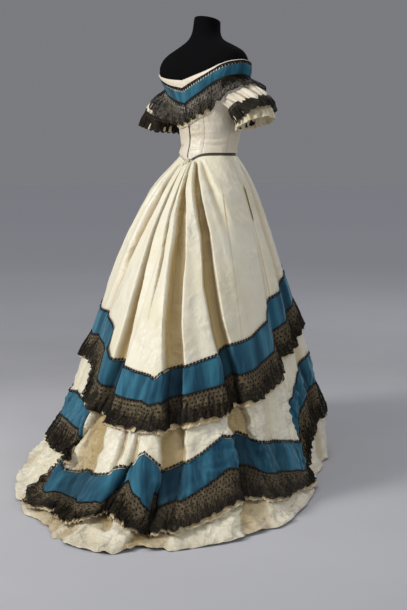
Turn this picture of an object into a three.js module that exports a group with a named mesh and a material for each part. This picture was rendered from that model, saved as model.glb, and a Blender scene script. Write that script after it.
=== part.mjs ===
// An off-the-shoulder silk ball gown with a train, on a limbless dress form.
// Millimetres, +Z up. The gown's front faces -Y and its train +Y; the wearer's right is -X.
// The origin is on the floor under the form's pole.
//
// A direction is in degrees, from the centre back (+Y) towards the wearer's right (-X).
// A level on the skirt counts the rows of PROFILE, from 0 at the waist to the last row at the hem.
import * as THREE from "three";

const RADIANS = Math.PI / 180;

// ---------------------------------------------------------------- driving sizes

const SILK_THICK = 2.0;
const BODICE_THICK = 1.6;
const VELVET_THICK = 1.5;
const LACE_THICK = 1.0;
const FRILL_THICK = 1.2;
const SEAM_GAP = 0.3;
const SEAT_GAP = 0.6;

const WAIST_SIDE = 110;
const WAIST_FRONT = 86;
const WAIST_BACK = 97;
const WAIST_HEIGHT = 1051;
const WAIST_DIP = 22;
const WAIST_DIP_WIDTH = 22;
const WAISTBAND_HEIGHT = 9;
const WAISTBAND_INSET = 1.4;
const HEM_HEIGHT = 2;

// The hem's distance from the axis. The train is swept towards the wearer's right.
const HEM = [
  { deg: 0, r: 812 },
  { deg: 15, r: 935 },
  { deg: 30, r: 1062 },
  { deg: 45, r: 985 },
  { deg: 60, r: 855 },
  { deg: 75, r: 650 },
  { deg: 90, r: 500 },
  { deg: 120, r: 425 },
  { deg: 150, r: 402 },
  { deg: 180, r: 405 },
  { deg: 210, r: 430 },
  { deg: 240, r: 475 },
  { deg: 270, r: 540 },
  { deg: 300, r: 590 },
  { deg: 330, r: 640 },
  { deg: 345, r: 700 },
];

// Height, and the share of the way from waist to hem that the cloth has gone out there,
// where it falls into the train, at the sides and at the front.
const PROFILE = [
  { z: 1041, train: 0.0, side: 0.0, front: 0.0 },
  { z: 1005, train: 0.028, side: 0.06, front: 0.075 },
  { z: 930, train: 0.095, side: 0.185, front: 0.2 },
  { z: 840, train: 0.17, side: 0.29, front: 0.31 },
  { z: 740, train: 0.25, side: 0.39, front: 0.42 },
  { z: 620, train: 0.34, side: 0.48, front: 0.55 },
  { z: 480, train: 0.435, side: 0.565, front: 0.7 },
  { z: 340, train: 0.54, side: 0.67, front: 0.84 },
  { z: 220, train: 0.64, side: 0.75, front: 0.93 },
  { z: 120, train: 0.75, side: 0.83, front: 0.985 },
  { z: 50, train: 0.86, side: 0.91, front: 1.0 },
  { z: HEM_HEIGHT, train: 1.0, side: 1.0, front: 1.0 },
];

// How far each direction follows the train's and the side's fall; the rest is the front's.
const FALL = [
  { deg: -120, train: 0.0, side: 0.5 },
  { deg: -80, train: 0.0, side: 0.8 },
  { deg: -45, train: 0.0, side: 1.0 },
  { deg: -10, train: 0.6, side: 0.4 },
  { deg: 30, train: 1.0, side: 0.0 },
  { deg: 65, train: 0.8, side: 0.2 },
  { deg: 100, train: 0.1, side: 0.6 },
  { deg: 137, train: 0.0, side: 0.0 },
  { deg: 180, train: 0.0, side: 0.0 },
  { deg: 220, train: 0.0, side: 0.2 },
];

// The skirt's main folds: each valley's direction at four heights, its half width in
// degrees and its depth.
const FOLD_LEVELS = [0, 3.4, 6.2, 11];
const FOLDS = [
  { waist: -6, high: -9, low: -27, floor: -30, wide: 8, deep: 26 },
  { waist: 1, high: 4, low: 17, floor: 20, wide: 5, deep: 20 },
  { waist: 9, high: 16, low: 25, floor: 27, wide: 4, deep: 13 },
  { waist: 16, high: 29, low: 34, floor: 34, wide: 5, deep: 32 },
  { waist: 26, high: 44, low: 53, floor: 50, wide: 6, deep: 34 },
  { waist: 40, high: 58, low: 68, floor: 66, wide: 7, deep: 12 },
  { waist: 78, high: 83, low: 86, floor: 86, wide: 6, deep: 20 },
  { waist: 104, high: 106, low: 108, floor: 109, wide: 9, deep: 12 },
  { waist: 130, high: 131, low: 133, floor: 134, wide: 9, deep: 13 },
  { waist: 158, high: 159, low: 160, floor: 160, wide: 9, deep: 10 },
  { waist: 184, high: 185, low: 186, floor: 187, wide: 9, deep: 12 },
  { waist: 210, high: 211, low: 212, floor: 213, wide: 9, deep: 11 },
  { waist: 236, high: 236, low: 236, floor: 236, wide: 9, deep: 15 },
  { waist: 262, high: 259, low: 257, floor: 256, wide: 8, deep: 15 },
  { waist: 288, high: 281, low: 276, floor: 274, wide: 8, deep: 22 },
  { waist: 312, high: 301, low: 293, floor: 290, wide: 8, deep: 27 },
  { waist: 332, high: 322, low: 311, floor: 308, wide: 8, deep: 30 },
  { waist: 345, high: 338, low: 324, floor: 320, wide: 6, deep: 18 },
];
const FOLD_SHOULDER = 0.4;
const FOLD_FULL_LEVEL = 2.6;

// Gathers that start at the waist and soon run out.
const GATHERS = 60;
const GATHER_DEPTH = 2.2;
const GATHER_LEVELS = 2.4;

// The top edge of each tier's velvet band, measured up the cloth from the hem.
const TIERS = [
  { deg: -180, upper: 690, lower: 345 },
  { deg: -120, upper: 650, lower: 330 },
  { deg: -60, upper: 590, lower: 290 },
  { deg: -33, upper: 578, lower: 270 },
  { deg: -4, upper: 628, lower: 330 },
  { deg: 3, upper: 585, lower: 335 },
  { deg: 9, upper: 564, lower: 235 },
  { deg: 13, upper: 572, lower: 205 },
  { deg: 19, upper: 590, lower: 230 },
  { deg: 28, upper: 618, lower: 276 },
  { deg: 31, upper: 605, lower: 285 },
  { deg: 36, upper: 630, lower: 276 },
  { deg: 42, upper: 637, lower: 314 },
  { deg: 50, upper: 634, lower: 367 },
  { deg: 55, upper: 643, lower: 345 },
  { deg: 65, upper: 606, lower: 262 },
  { deg: 80, upper: 566, lower: 165 },
  { deg: 84, upper: 600, lower: 150 },
  { deg: 90, upper: 605, lower: 275 },
  { deg: 100, upper: 606, lower: 328 },
  { deg: 118, upper: 650, lower: 361 },
  { deg: 150, upper: 682, lower: 352 },
  { deg: 180, upper: 690, lower: 345 },
];
const VELVET_WIDTH = 100;
const UPPER_LACE_DEPTH = 102;
const LOWER_LACE_DEPTH = 118;
const FRILL_SHOWS = 11;
const TRIM_ABOVE_HEM = 14;
const TRIM_TUCK = 0.5;

// How far a flounce stands off the cloth at its middle and its lower edge.
const LACE_STAND_MIDDLE = 9;
const LACE_STAND_EDGE = 20;
const FRILL_STAND_EDGE = 10;
const FLOUNCE_WAVE = 4;

// Columns of the skirt: every 3 degrees over the folds of the back, every 5 elsewhere.
const FINE_FROM = -33;
const FINE_TO = 90;
const FINE_STEP = 3;
const COARSE_STEP = 5.925;
// Shares of the way from waist to the upper band at which the plain skirt has a row.
const PLAIN_ROWS = [0, 0.12, 0.3, 0.52, 0.76];

// The skirt's gores, by the directions of their seams; each seam takes the nearest column.
const GORES = [
  { name: "skirt_centre_back", from: -12, to: 18 },
  { name: "skirt_back_right", from: 18, to: 60 },
  { name: "skirt_side_right", from: 60, to: 90 },
  { name: "skirt_side_front_right", from: 90, to: 144 },
  { name: "skirt_front", from: 144, to: 208 },
  { name: "skirt_side_front_left", from: 208, to: 262 },
  { name: "skirt_side_left", from: 262, to: 303 },
  { name: "skirt_back_left", from: 303, to: 348 },
];

// The pocket slit: the seam between two right gores is parted over these heights.
const POCKET_SEAM = 90;
const POCKET_TOP = 950;
const POCKET_BOTTOM = 815;
const POCKET_HALF_GAP = 1.6;

// The torso: half width, centre and half depth of its outline at each height, and how square
// that outline is (2 is an ellipse). A direction on it is the outline's own angle.
const BODY = [
  { z: 850, side: 140, centre: 2, deep: 96, square: 2 },
  { z: 890, side: 146, centre: 2, deep: 104, square: 2 },
  { z: 930, side: 144, centre: 2, deep: 104, square: 2 },
  { z: 1000, side: 118, centre: 3, deep: 92, square: 2 },
  { z: 1050, side: 108, centre: 4, deep: 90, square: 2 },
  { z: 1085, side: 107, centre: -2, deep: 87, square: 2 },
  { z: 1134, side: 118, centre: -4, deep: 92, square: 2 },
  { z: 1180, side: 128, centre: -2, deep: 102, square: 2 },
  { z: 1240, side: 143, centre: 2, deep: 112, square: 2.1 },
  { z: 1292, side: 168, centre: 17, deep: 109, square: 2.4 },
  { z: 1335, side: 190, centre: 26, deep: 93, square: 2.7 },
  { z: 1366, side: 186, centre: 26, deep: 80, square: 2.7 },
  { z: 1388, side: 168, centre: 23, deep: 70, square: 2.5 },
  { z: 1410, side: 124, centre: 20, deep: 60, square: 2.2 },
  { z: 1430, side: 80, centre: 18, deep: 54, square: 2 },
  { z: 1455, side: 56, centre: 13, deep: 52, square: 2 },
  { z: 1497, side: 48, centre: 8, deep: 50, square: 2 },
];
const NECK_SLANT = 0.2;
const BODY_STEP = 10;
const FORM_CLEARANCE = 4.5;
const FORM_SEAT_HEIGHT = 1085;
const FORM_SEAT_GAP = 0.5;
const POLE_RADIUS = 16;
const POLE_GAP = 0.4;
const BASE_RADIUS = 170;
const BASE_THICK = 12;
const BASE_EDGE = 4;
const ROUND_SIDES = 24;

// The neckline's height, the depth of the ivory band under it, the drop of the bertha's
// lace, and how far out that lace is spread.
const NECK = [
  { deg: -180, z: 1296, band: 34, drop: 62, spread: 14 },
  { deg: -137, z: 1330, band: 16, drop: 36, spread: 50 },
  { deg: -120, z: 1334, band: 13, drop: 32, spread: 62 },
  { deg: -90, z: 1338, band: 12, drop: 32, spread: 66 },
  { deg: -72, z: 1334, band: 14, drop: 30, spread: 66 },
  { deg: -60, z: 1327, band: 19, drop: 32, spread: 54 },
  { deg: -45, z: 1314, band: 26, drop: 92, spread: 16 },
  { deg: -20, z: 1300, band: 36, drop: 84, spread: 13 },
  { deg: 0, z: 1292, band: 41, drop: 64, spread: 12 },
  { deg: 27, z: 1316, band: 29, drop: 72, spread: 13 },
  { deg: 45, z: 1336, band: 20, drop: 84, spread: 16 },
  { deg: 60, z: 1346, band: 15, drop: 50, spread: 40 },
  { deg: 72, z: 1350, band: 13, drop: 38, spread: 58 },
  { deg: 90, z: 1354, band: 12, drop: 32, spread: 66 },
  { deg: 120, z: 1346, band: 13, drop: 32, spread: 62 },
  { deg: 137, z: 1340, band: 16, drop: 36, spread: 50 },
  { deg: 180, z: 1296, band: 34, drop: 62, spread: 14 },
];
const NECK_BAND_LIFT = 1.0;
const BERTHA_LIFT = 4.2;
const BERTHA_VELVET_WIDTH = 40;
const BERTHA_OVERLAP = 2;
const BERTHA_WAVE = 3;
const BERTHA_FRILL_SHOWS = 5;
const BERTHA_FRILL_SEAT = 2.8;

const BODICE_ROWS = [1180, 1150, 1115, 1085, 1058];
const BODICE_PANELS = [
  { name: "bodice_back_right", from: 0, to: 30 },
  { name: "bodice_side_back_right", from: 30, to: 80 },
  { name: "bodice_front_right", from: 80, to: 180 },
  { name: "bodice_front_left", from: 180, to: 280 },
  { name: "bodice_side_back_left", from: 280, to: 330 },
  { name: "bodice_back_left", from: 330, to: 360 },
];
const ARMHOLE_BOTTOM = 1200;
const ARMHOLE_BACK = 36;
const ARMHOLE_UNDER = 54;
const ARMHOLE_FRONT_UNDER = 110;
const ARMHOLE_FRONT = 132;

// The sleeve's rings: centre across and up, tilt from upright, half size up and down, half
// size from front to back, and the depth of the gathers.
const SLEEVE_CENTRE_Y = 15;
const LEFT_SLEEVE_LOWER = 12;
const ARMHOLE_CENTRE_Z = 1242;
const ARMHOLE_HALF_HEIGHT = 43;
const ARMHOLE_HALF_DEPTH = 54;
const ARMHOLE_STAND = 2.4;
const PUFF = [
  { x: 178, z: 1230, tilt: 35, up: 54, deep: 64, wave: 1.5 },
  { x: 202, z: 1217, tilt: 52, up: 62, deep: 72, wave: 2.5 },
  { x: 216, z: 1200, tilt: 68, up: 72, deep: 76, wave: 0 },
  { x: 222, z: 1178, tilt: 80, up: 56, deep: 60, wave: 0 },
];
const SLEEVE_LACE = [
  { x: 216, z: 1200, tilt: 68, up: 74.4, deep: 78.4, wave: 0 },
  { x: 227, z: 1171, tilt: 75, up: 84, deep: 88, wave: 2.5 },
  { x: 238, z: 1140, tilt: 82, up: 92, deep: 95, wave: 4 },
];
const SLEEVE_FRILL = [
  { x: 222, z: 1178, tilt: 80, up: 58.4, deep: 62.4, wave: 0 },
  { x: 230, z: 1153, tilt: 81, up: 72, deep: 76, wave: 2 },
  { x: 237, z: 1126, tilt: 82, up: 82, deep: 85, wave: 4 },
];
const SLEEVE_SIDES = 24;
const SLEEVE_WAVES = 6;

const TIE_WIDTH = 5;
const TIE_LENGTH = 30;
const TIE_SPREAD = 11;
const TIE_THICK = 1.5;
const TIE_KNOT_HEIGHT = 1034;
const TIE_TILT = 50;
const TIE_GAP = 1.0;

// ---------------------------------------------------------------- materials

function finish(colour, roughness, metalness = 0) {
  return new THREE.MeshStandardMaterial({ color: colour, roughness, metalness });
}

const MATERIALS = {
  silk: () => finish(0xe9e2cc, 0.42),
  velvet: () => finish(0x1f6080, 0.75),
  lace: () => finish(0x2a2520, 0.8),
  frill: () => finish(0xe4dabd, 0.6),
  jersey: () => finish(0x0b0b0d, 0.85),
  iron: () => finish(0x1a1a1c, 0.5, 0.6),
};

const model = new THREE.Group();

function place(name, geometry, material) {
  const mesh = new THREE.Mesh(geometry, MATERIALS[material]());
  mesh.name = name;
  model.add(mesh);
}

// ---------------------------------------------------------------- tables and curves

function lerp(a, b, t) {
  return a + (b - a) * t;
}

function smooth(t) {
  const s = Math.min(Math.max(t, 0), 1);
  return s * s * (3 - 2 * s);
}

function cubic(rows, key, column, at, i) {
  const a = rows[Math.max(i - 1, 0)];
  const b = rows[i];
  const c = rows[i + 1];
  const d = rows[Math.min(i + 2, rows.length - 1)];
  const span = c[key] - b[key];
  const t = (at - b[key]) / span;
  const slopeIn = ((c[column] - a[column]) / (c[key] - a[key])) * span;
  const slopeOut = ((d[column] - b[column]) / (d[key] - b[key])) * span;
  const t2 = t * t;
  const t3 = t2 * t;
  return (
    (2 * t3 - 3 * t2 + 1) * b[column] +
    (t3 - 2 * t2 + t) * slopeIn +
    (3 * t2 - 2 * t3) * c[column] +
    (t3 - t2) * slopeOut
  );
}

// A smooth curve through a table's rows, in the order of its key.
function curve(rows, key, column, at) {
  let i = 0;
  while (i < rows.length - 2 && at > rows[i + 1][key]) {
    i += 1;
  }
  return cubic(rows, key, column, at, i);
}

// The same round the whole circle of directions.
function around(rows, column, deg) {
  const first = rows[0].deg;
  const at = first + ((((deg - first) % 360) + 360) % 360);
  const n = rows.length;
  const before = rows.slice(-2).map((row) => ({ ...row, deg: row.deg - 360 }));
  const after = rows.slice(0, 2).map((row) => ({ ...row, deg: row.deg + 360 }));
  const all = [...before, ...rows, ...after];
  let i = 2;
  while (i < n + 1 && at > all[i + 1].deg) {
    i += 1;
  }
  return cubic(all, "deg", column, at, i);
}

// Straight lines between the rows of a table that covers -180 to 180.
function straight(rows, column, deg) {
  const at = ((((deg + 180) % 360) + 360) % 360) - 180;
  let i = 0;
  while (i < rows.length - 2 && at > rows[i + 1].deg) {
    i += 1;
  }
  const t = (at - rows[i].deg) / (rows[i + 1].deg - rows[i].deg);
  return lerp(rows[i][column], rows[i + 1][column], t);
}

function turned(deg, centre) {
  return ((((deg - centre + 180) % 360) + 360) % 360) - 180;
}

// ---------------------------------------------------------------- closed walls

// A closed wall between two grids of points, [column][row]; a ring's last column meets its first.
function wall(outer, inner, ring) {
  const columns = outer.length;
  const rows = outer[0].length;
  const points = [...outer.flat(), ...inner.flat()];
  const position = new Float32Array(points.flatMap((p) => [p.x, p.y, p.z]));
  const out = (i, j) => (i % columns) * rows + j;
  const into = (i, j) => columns * rows + out(i, j);
  const index = [];
  const quad = (a, b, c, d) => index.push(a, b, c, a, c, d);
  const last = ring ? columns : columns - 1;
  for (let i = 0; i < last; i += 1) {
    for (let j = 0; j < rows - 1; j += 1) {
      quad(out(i, j), out(i, j + 1), out(i + 1, j + 1), out(i + 1, j));
      quad(into(i, j), into(i + 1, j), into(i + 1, j + 1), into(i, j + 1));
    }
    quad(out(i, 0), out(i + 1, 0), into(i + 1, 0), into(i, 0));
    quad(out(i, rows - 1), into(i, rows - 1), into(i + 1, rows - 1), out(i + 1, rows - 1));
  }
  for (let j = 0; j < rows - 1 && !ring; j += 1) {
    quad(out(0, j), into(0, j), into(0, j + 1), out(0, j + 1));
    quad(out(last, j), out(last, j + 1), into(last, j + 1), into(last, j));
  }
  const geometry = new THREE.BufferGeometry();
  geometry.setAttribute("position", new THREE.BufferAttribute(position, 3));
  geometry.setIndex(index);
  return geometry;
}

// Moves a point of a surface out along the surface's own normal.
function lifted(surface, u, v, lift, du, dv) {
  const point = surface(u, v);
  const across = surface(u + du, v).sub(surface(u - du, v));
  const down = surface(u, v + dv).sub(surface(u, v - dv));
  const normal = down.cross(across).normalize();
  return point.addScaledVector(normal, lift);
}

// A step sideways along a circle, towards larger directions.
function sideways(deg, step) {
  return new THREE.Vector3(-Math.cos(deg * RADIANS) * step, -Math.sin(deg * RADIANS) * step, 0);
}

// ---------------------------------------------------------------- the skirt's surface

function waistRadius(deg) {
  const across = Math.sin(deg * RADIANS) / WAIST_SIDE;
  const back = Math.cos(deg * RADIANS);
  const along = back / (back > 0 ? WAIST_BACK : WAIST_FRONT);
  return 1 / Math.hypot(across, along);
}

function waistLine(deg) {
  const t = turned(deg, 0) / WAIST_DIP_WIDTH;
  return WAIST_HEIGHT - WAIST_DIP * Math.exp(-t * t);
}

function shareOut(row, deg) {
  const train = around(FALL, "train", deg);
  const side = around(FALL, "side", deg);
  return row.train * train + row.side * side + row.front * (1 - train - side);
}

function foldDepth(deg, level) {
  let depth = 0;
  for (const fold of FOLDS) {
    const places = [fold.waist, fold.high, fold.low, fold.floor];
    let i = 0;
    while (i < 2 && level > FOLD_LEVELS[i + 1]) {
      i += 1;
    }
    const t = (level - FOLD_LEVELS[i]) / (FOLD_LEVELS[i + 1] - FOLD_LEVELS[i]);
    const away = turned(deg, lerp(places[i], places[i + 1], t)) / fold.wide;
    const valley = Math.exp(-2 * away * away);
    const shoulder = FOLD_SHOULDER * Math.exp(-0.45 * away * away);
    depth += fold.deep * (valley - shoulder);
  }
  const fading = Math.sin(Math.PI * smooth(level / GATHER_LEVELS));
  const gather = GATHER_DEPTH * Math.sin(deg * RADIANS * GATHERS) * fading;
  return depth * smooth(level / FOLD_FULL_LEVEL) + gather;
}

const ROWS_OUT = new Map();

// The radius at each row of PROFILE, kept for each direction.
function rowsOut(deg) {
  const key = deg.toFixed(4);
  if (!ROWS_OUT.has(key)) {
    const waist = waistRadius(deg);
    const hem = around(HEM, "r", deg);
    const top = waistLine(deg) - WAISTBAND_HEIGHT - 3 * SEAM_GAP;
    const rows = PROFILE.map((row, level) => ({
      level,
      r: lerp(waist, hem, shareOut(row, deg)),
      z: level === 0 ? top : row.z,
    }));
    ROWS_OUT.set(key, rows);
  }
  return ROWS_OUT.get(key);
}

function skirt(deg, level) {
  const rows = rowsOut(deg);
  const r = curve(rows, "level", "r", level) - foldDepth(deg, level);
  const z = curve(rows, "level", "z", level);
  return new THREE.Vector3(-r * Math.sin(deg * RADIANS), r * Math.cos(deg * RADIANS), z);
}

const HEM_LEVEL = PROFILE.length - 1;
const MEASURE_STEP = 0.1;

// The level that lies a given distance up the cloth from the hem.
function levelUp(deg, up) {
  const rows = rowsOut(deg);
  let level = HEM_LEVEL;
  let gone = 0;
  while (level > MEASURE_STEP) {
    const next = level - MEASURE_STEP;
    const dr = curve(rows, "level", "r", level) - curve(rows, "level", "r", next);
    const dz = curve(rows, "level", "z", level) - curve(rows, "level", "z", next);
    const step = Math.hypot(dr, dz);
    if (gone + step >= up) {
      return level - (MEASURE_STEP * (up - gone)) / step;
    }
    gone += step;
    level = next;
  }
  return 0;
}

function liftedSkirt(deg, level, lift) {
  const point = lifted(skirt, deg, level, lift, 0.5, 0.1);
  point.z = Math.max(point.z, 0);
  return point;
}

// The lines that the trimming follows, in levels, at one direction.
function trimLevels(deg) {
  const upper = straight(TIERS, "upper", deg);
  const lower = straight(TIERS, "lower", deg);
  const tier = (top, lace) => {
    const velvet = top - VELVET_WIDTH;
    const edge = Math.max(velvet - lace, TRIM_ABOVE_HEM + FRILL_SHOWS);
    return {
      top: levelUp(deg, top),
      heading: levelUp(deg, velvet),
      laceTop: levelUp(deg, velvet - TRIM_TUCK),
      middle: levelUp(deg, lerp(velvet, edge, 0.5)),
      edge: levelUp(deg, edge),
      frill: levelUp(deg, edge - FRILL_SHOWS),
    };
  };
  return { upper: tier(upper, UPPER_LACE_DEPTH), lower: tier(lower, LOWER_LACE_DEPTH) };
}

function skirtLevels(deg) {
  const { upper, lower } = trimLevels(deg);
  const between = lerp(upper.edge, lower.top, 0.5);
  return [
    ...PLAIN_ROWS.map((share) => share * upper.top),
    upper.top,
    upper.heading,
    upper.middle,
    upper.edge,
    between,
    lower.top,
    lower.heading,
    lower.middle,
    lower.edge,
    HEM_LEVEL,
  ];
}

// Every direction at which the skirt has a column of points.
function skirtDirections() {
  const fine = [];
  for (let deg = FINE_FROM; deg < FINE_TO - 0.01; deg += FINE_STEP) {
    fine.push(deg);
  }
  const coarse = [];
  const end = FINE_FROM + 360;
  const steps = Math.round((end - FINE_TO) / COARSE_STEP);
  for (let i = 0; i < steps; i += 1) {
    coarse.push(FINE_TO + (i * (end - FINE_TO)) / steps);
  }
  return [...fine, ...coarse];
}

const DIRECTIONS = skirtDirections();

const TWICE_ROUND = [...DIRECTIONS, ...DIRECTIONS.map((deg) => deg + 360)];

function nearestColumn(deg) {
  const away = TWICE_ROUND.map((column) => Math.abs(column - deg));
  return away.indexOf(Math.min(...away));
}

// A gore's first and last columns are moved half a seam's gap in from the seam.
function gore(row) {
  const columns = TWICE_ROUND.slice(nearestColumn(row.from), nearestColumn(row.to) + 1);
  const outer = [];
  const inner = [];
  for (const deg of columns) {
    const seam = deg === columns[0] ? 1 : deg === columns[columns.length - 1] ? -1 : 0;
    const levels = skirtLevels(deg);
    const shift = (point) => {
      const slit = deg === POCKET_SEAM && point.z < POCKET_TOP && point.z > POCKET_BOTTOM;
      const side = seam * (SEAM_GAP / 2 + (slit ? POCKET_HALF_GAP : 0));
      return point.add(sideways(deg, side));
    };
    outer.push(levels.map((level) => shift(liftedSkirt(deg, level, 0))));
    inner.push(
      levels.map((level) => {
        const point = shift(liftedSkirt(deg, level, -SILK_THICK));
        point.z = level === HEM_LEVEL ? 0 : point.z;
        return point;
      }),
    );
  }
  place(row.name, wall(outer, inner, false), "silk");
}

// A piece of trimming round the skirt: rows of level and lift at each direction.
function trimming(name, material, thick, rowsAt) {
  const at = (deg, row, extra) => liftedSkirt(deg, row.level, row.lift + extra);
  const column = (deg, i, extra) => rowsAt(deg, i).map((row) => at(deg, row, extra));
  const grid = (extra) => DIRECTIONS.map((deg, i) => column(deg, i, extra));
  place(name, wall(grid(thick), grid(0), true), material);
}

function flounceWave(i) {
  return [0, 1, 0, -1][i % 4];
}

function tier(which) {
  trimming(`${which}_velvet_band`, "velvet", VELVET_THICK, (deg) => {
    const lines = trimLevels(deg)[which];
    return [
      { level: lines.top, lift: SEAT_GAP },
      { level: lines.heading, lift: SEAT_GAP },
    ];
  });
  trimming(`${which}_lace_flounce`, "lace", LACE_THICK, (deg, i) => {
    const lines = trimLevels(deg)[which];
    const wave = flounceWave(i) * FLOUNCE_WAVE;
    return [
      { level: lines.laceTop, lift: SEAT_GAP },
      { level: lines.middle, lift: LACE_STAND_MIDDLE + wave / 2 },
      { level: lines.edge, lift: LACE_STAND_EDGE + wave },
    ];
  });
  trimming(`${which}_silk_frill`, "frill", FRILL_THICK, (deg, i) => {
    const lines = trimLevels(deg)[which];
    return [
      { level: lines.middle, lift: SEAT_GAP },
      { level: lines.frill, lift: FRILL_STAND_EDGE + flounceWave(i) * FLOUNCE_WAVE },
    ];
  });
}

// ---------------------------------------------------------------- the torso's surface

function power(value, exponent) {
  return Math.sign(value) * Math.abs(value) ** exponent;
}

function body(deg, z) {
  const side = curve(BODY, "z", "side", z);
  const centre = curve(BODY, "z", "centre", z);
  const deep = curve(BODY, "z", "deep", z);
  const exponent = 2 / curve(BODY, "z", "square", z);
  const x = -side * power(Math.sin(deg * RADIANS), exponent);
  const y = centre + deep * power(Math.cos(deg * RADIANS), exponent);
  return new THREE.Vector3(x, y, z);
}

function liftedBody(deg, z, lift) {
  const at = body(deg, z);
  const centre = new THREE.Vector3(0, curve(BODY, "z", "centre", z), z);
  const out = at.clone().sub(centre).normalize();
  return at.addScaledVector(out, lift);
}

// How far out the torso's side is at a given depth and height.
function bodySide(y, z) {
  const square = curve(BODY, "z", "square", z);
  const along = Math.abs(y - curve(BODY, "z", "centre", z)) / curve(BODY, "z", "deep", z);
  return curve(BODY, "z", "side", z) * (1 - along ** square) ** (1 / square);
}

function bodyDirections(from, to) {
  const list = [];
  for (let deg = from; deg <= to + 0.01; deg += BODY_STEP) {
    list.push(deg);
  }
  return list;
}

const RING = bodyDirections(0, 350);

function torso() {
  const rows = BODY.map((row) => row.z);
  const position = [];
  for (const z of rows) {
    const clearance = z === FORM_SEAT_HEIGHT ? FORM_SEAT_GAP : FORM_CLEARANCE;
    for (const deg of RING) {
      const point = liftedBody(deg, z, -clearance);
      const slant = z === rows[rows.length - 1] ? NECK_SLANT * point.y : 0;
      position.push(point.x, point.y, point.z + slant);
    }
  }
  const n = RING.length;
  const index = [];
  for (let j = 0; j < rows.length - 1; j += 1) {
    for (let i = 0; i < n; i += 1) {
      const next = (i + 1) % n;
      const a = j * n + i;
      const b = j * n + next;
      index.push(a, b, b + n, a, b + n, a + n);
    }
  }
  const under = position.length / 3;
  const top = under + 1;
  const last = (rows.length - 1) * n;
  const topRow = BODY[BODY.length - 1];
  position.push(0, BODY[0].centre, rows[0]);
  position.push(0, topRow.centre, topRow.z + NECK_SLANT * topRow.centre);
  for (let i = 0; i < n; i += 1) {
    const next = (i + 1) % n;
    index.push(under, next, i);
    index.push(top, last + i, last + next);
  }
  const geometry = new THREE.BufferGeometry();
  geometry.setAttribute("position", new THREE.BufferAttribute(new Float32Array(position), 3));
  geometry.setIndex(index);
  place("form_torso", geometry, "jersey");
}

function lathe(name, outline, material) {
  const points = outline.map(([r, z]) => new THREE.Vector2(r, z));
  const geometry = new THREE.LatheGeometry(points, ROUND_SIDES);
  geometry.rotateX(Math.PI / 2);
  place(name, geometry, material);
}

function stand() {
  const top = BODY[0].z - POLE_GAP;
  const foot = BASE_THICK + POLE_GAP;
  lathe("form_pole", [[0, foot], [POLE_RADIUS, foot], [POLE_RADIUS, top], [0, top]], "iron");
  const rim = BASE_THICK - BASE_EDGE;
  const flat = BASE_RADIUS - BASE_EDGE;
  const edge = [[BASE_RADIUS, 0], [BASE_RADIUS, rim], [flat, BASE_THICK]];
  lathe("form_base", [[0, 0], ...edge, [0, BASE_THICK]], "iron");
}

// ---------------------------------------------------------------- bodice

function neckLine(deg) {
  return straight(NECK, "z", deg);
}

function bandBottom(deg) {
  return neckLine(deg) - straight(NECK, "band", deg);
}

// The top edge of the bodice's panels, which drops round each armhole.
function panelTop(deg) {
  const side = Math.abs(turned(deg, 0));
  const top = bandBottom(deg) - SEAM_GAP;
  const back = smooth((side - ARMHOLE_BACK) / (ARMHOLE_UNDER - ARMHOLE_BACK));
  const front = smooth((ARMHOLE_FRONT - side) / (ARMHOLE_FRONT - ARMHOLE_FRONT_UNDER));
  return lerp(top, ARMHOLE_BOTTOM, Math.min(back, front));
}

function bodicePanel(row) {
  const outer = [];
  const inner = [];
  for (const deg of bodyDirections(row.from, row.to)) {
    const seam = deg === row.from ? 1 : deg === row.to ? -1 : 0;
    const side = (seam * SEAM_GAP) / 2;
    const shift = sideways(deg, side);
    const top = panelTop(deg);
    const heights = [top, lerp(top, BODICE_ROWS[0], 0.5), ...BODICE_ROWS, waistLine(deg)];
    outer.push(heights.map((z) => liftedBody(deg, z, BODICE_THICK).add(shift)));
    inner.push(heights.map((z) => liftedBody(deg, z, 0).add(shift)));
  }
  place(row.name, wall(outer, inner, false), "silk");
}

// A band round the torso: rows of height and lift at each direction.
function bodyRing(name, material, thick, rowsAt) {
  const column = (deg, extra) => rowsAt(deg).map((row) => liftedBody(deg, row.z, row.lift + extra));
  const grid = (extra) => RING.map((deg) => column(deg, extra));
  place(name, wall(grid(thick), grid(0), true), material);
}

function neckBand() {
  const rows = (deg) => [
    { z: neckLine(deg), lift: NECK_BAND_LIFT },
    { z: bandBottom(deg), lift: NECK_BAND_LIFT },
  ];
  bodyRing("neck_band", "silk", BODICE_THICK, rows);
}

// Points of the bertha are given on the torso at the velvet's lower edge, then moved out and down.
function hanging(deg, drop, lift) {
  const z = bandBottom(deg) + BERTHA_OVERLAP - BERTHA_VELVET_WIDTH - SEAM_GAP;
  const flat = smooth((lift - 20) / 30);
  const low = liftedBody(deg, z - drop, lift);
  const out = liftedBody(deg, z, lift);
  out.z = z - drop;
  return low.lerp(out, flat);
}

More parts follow.
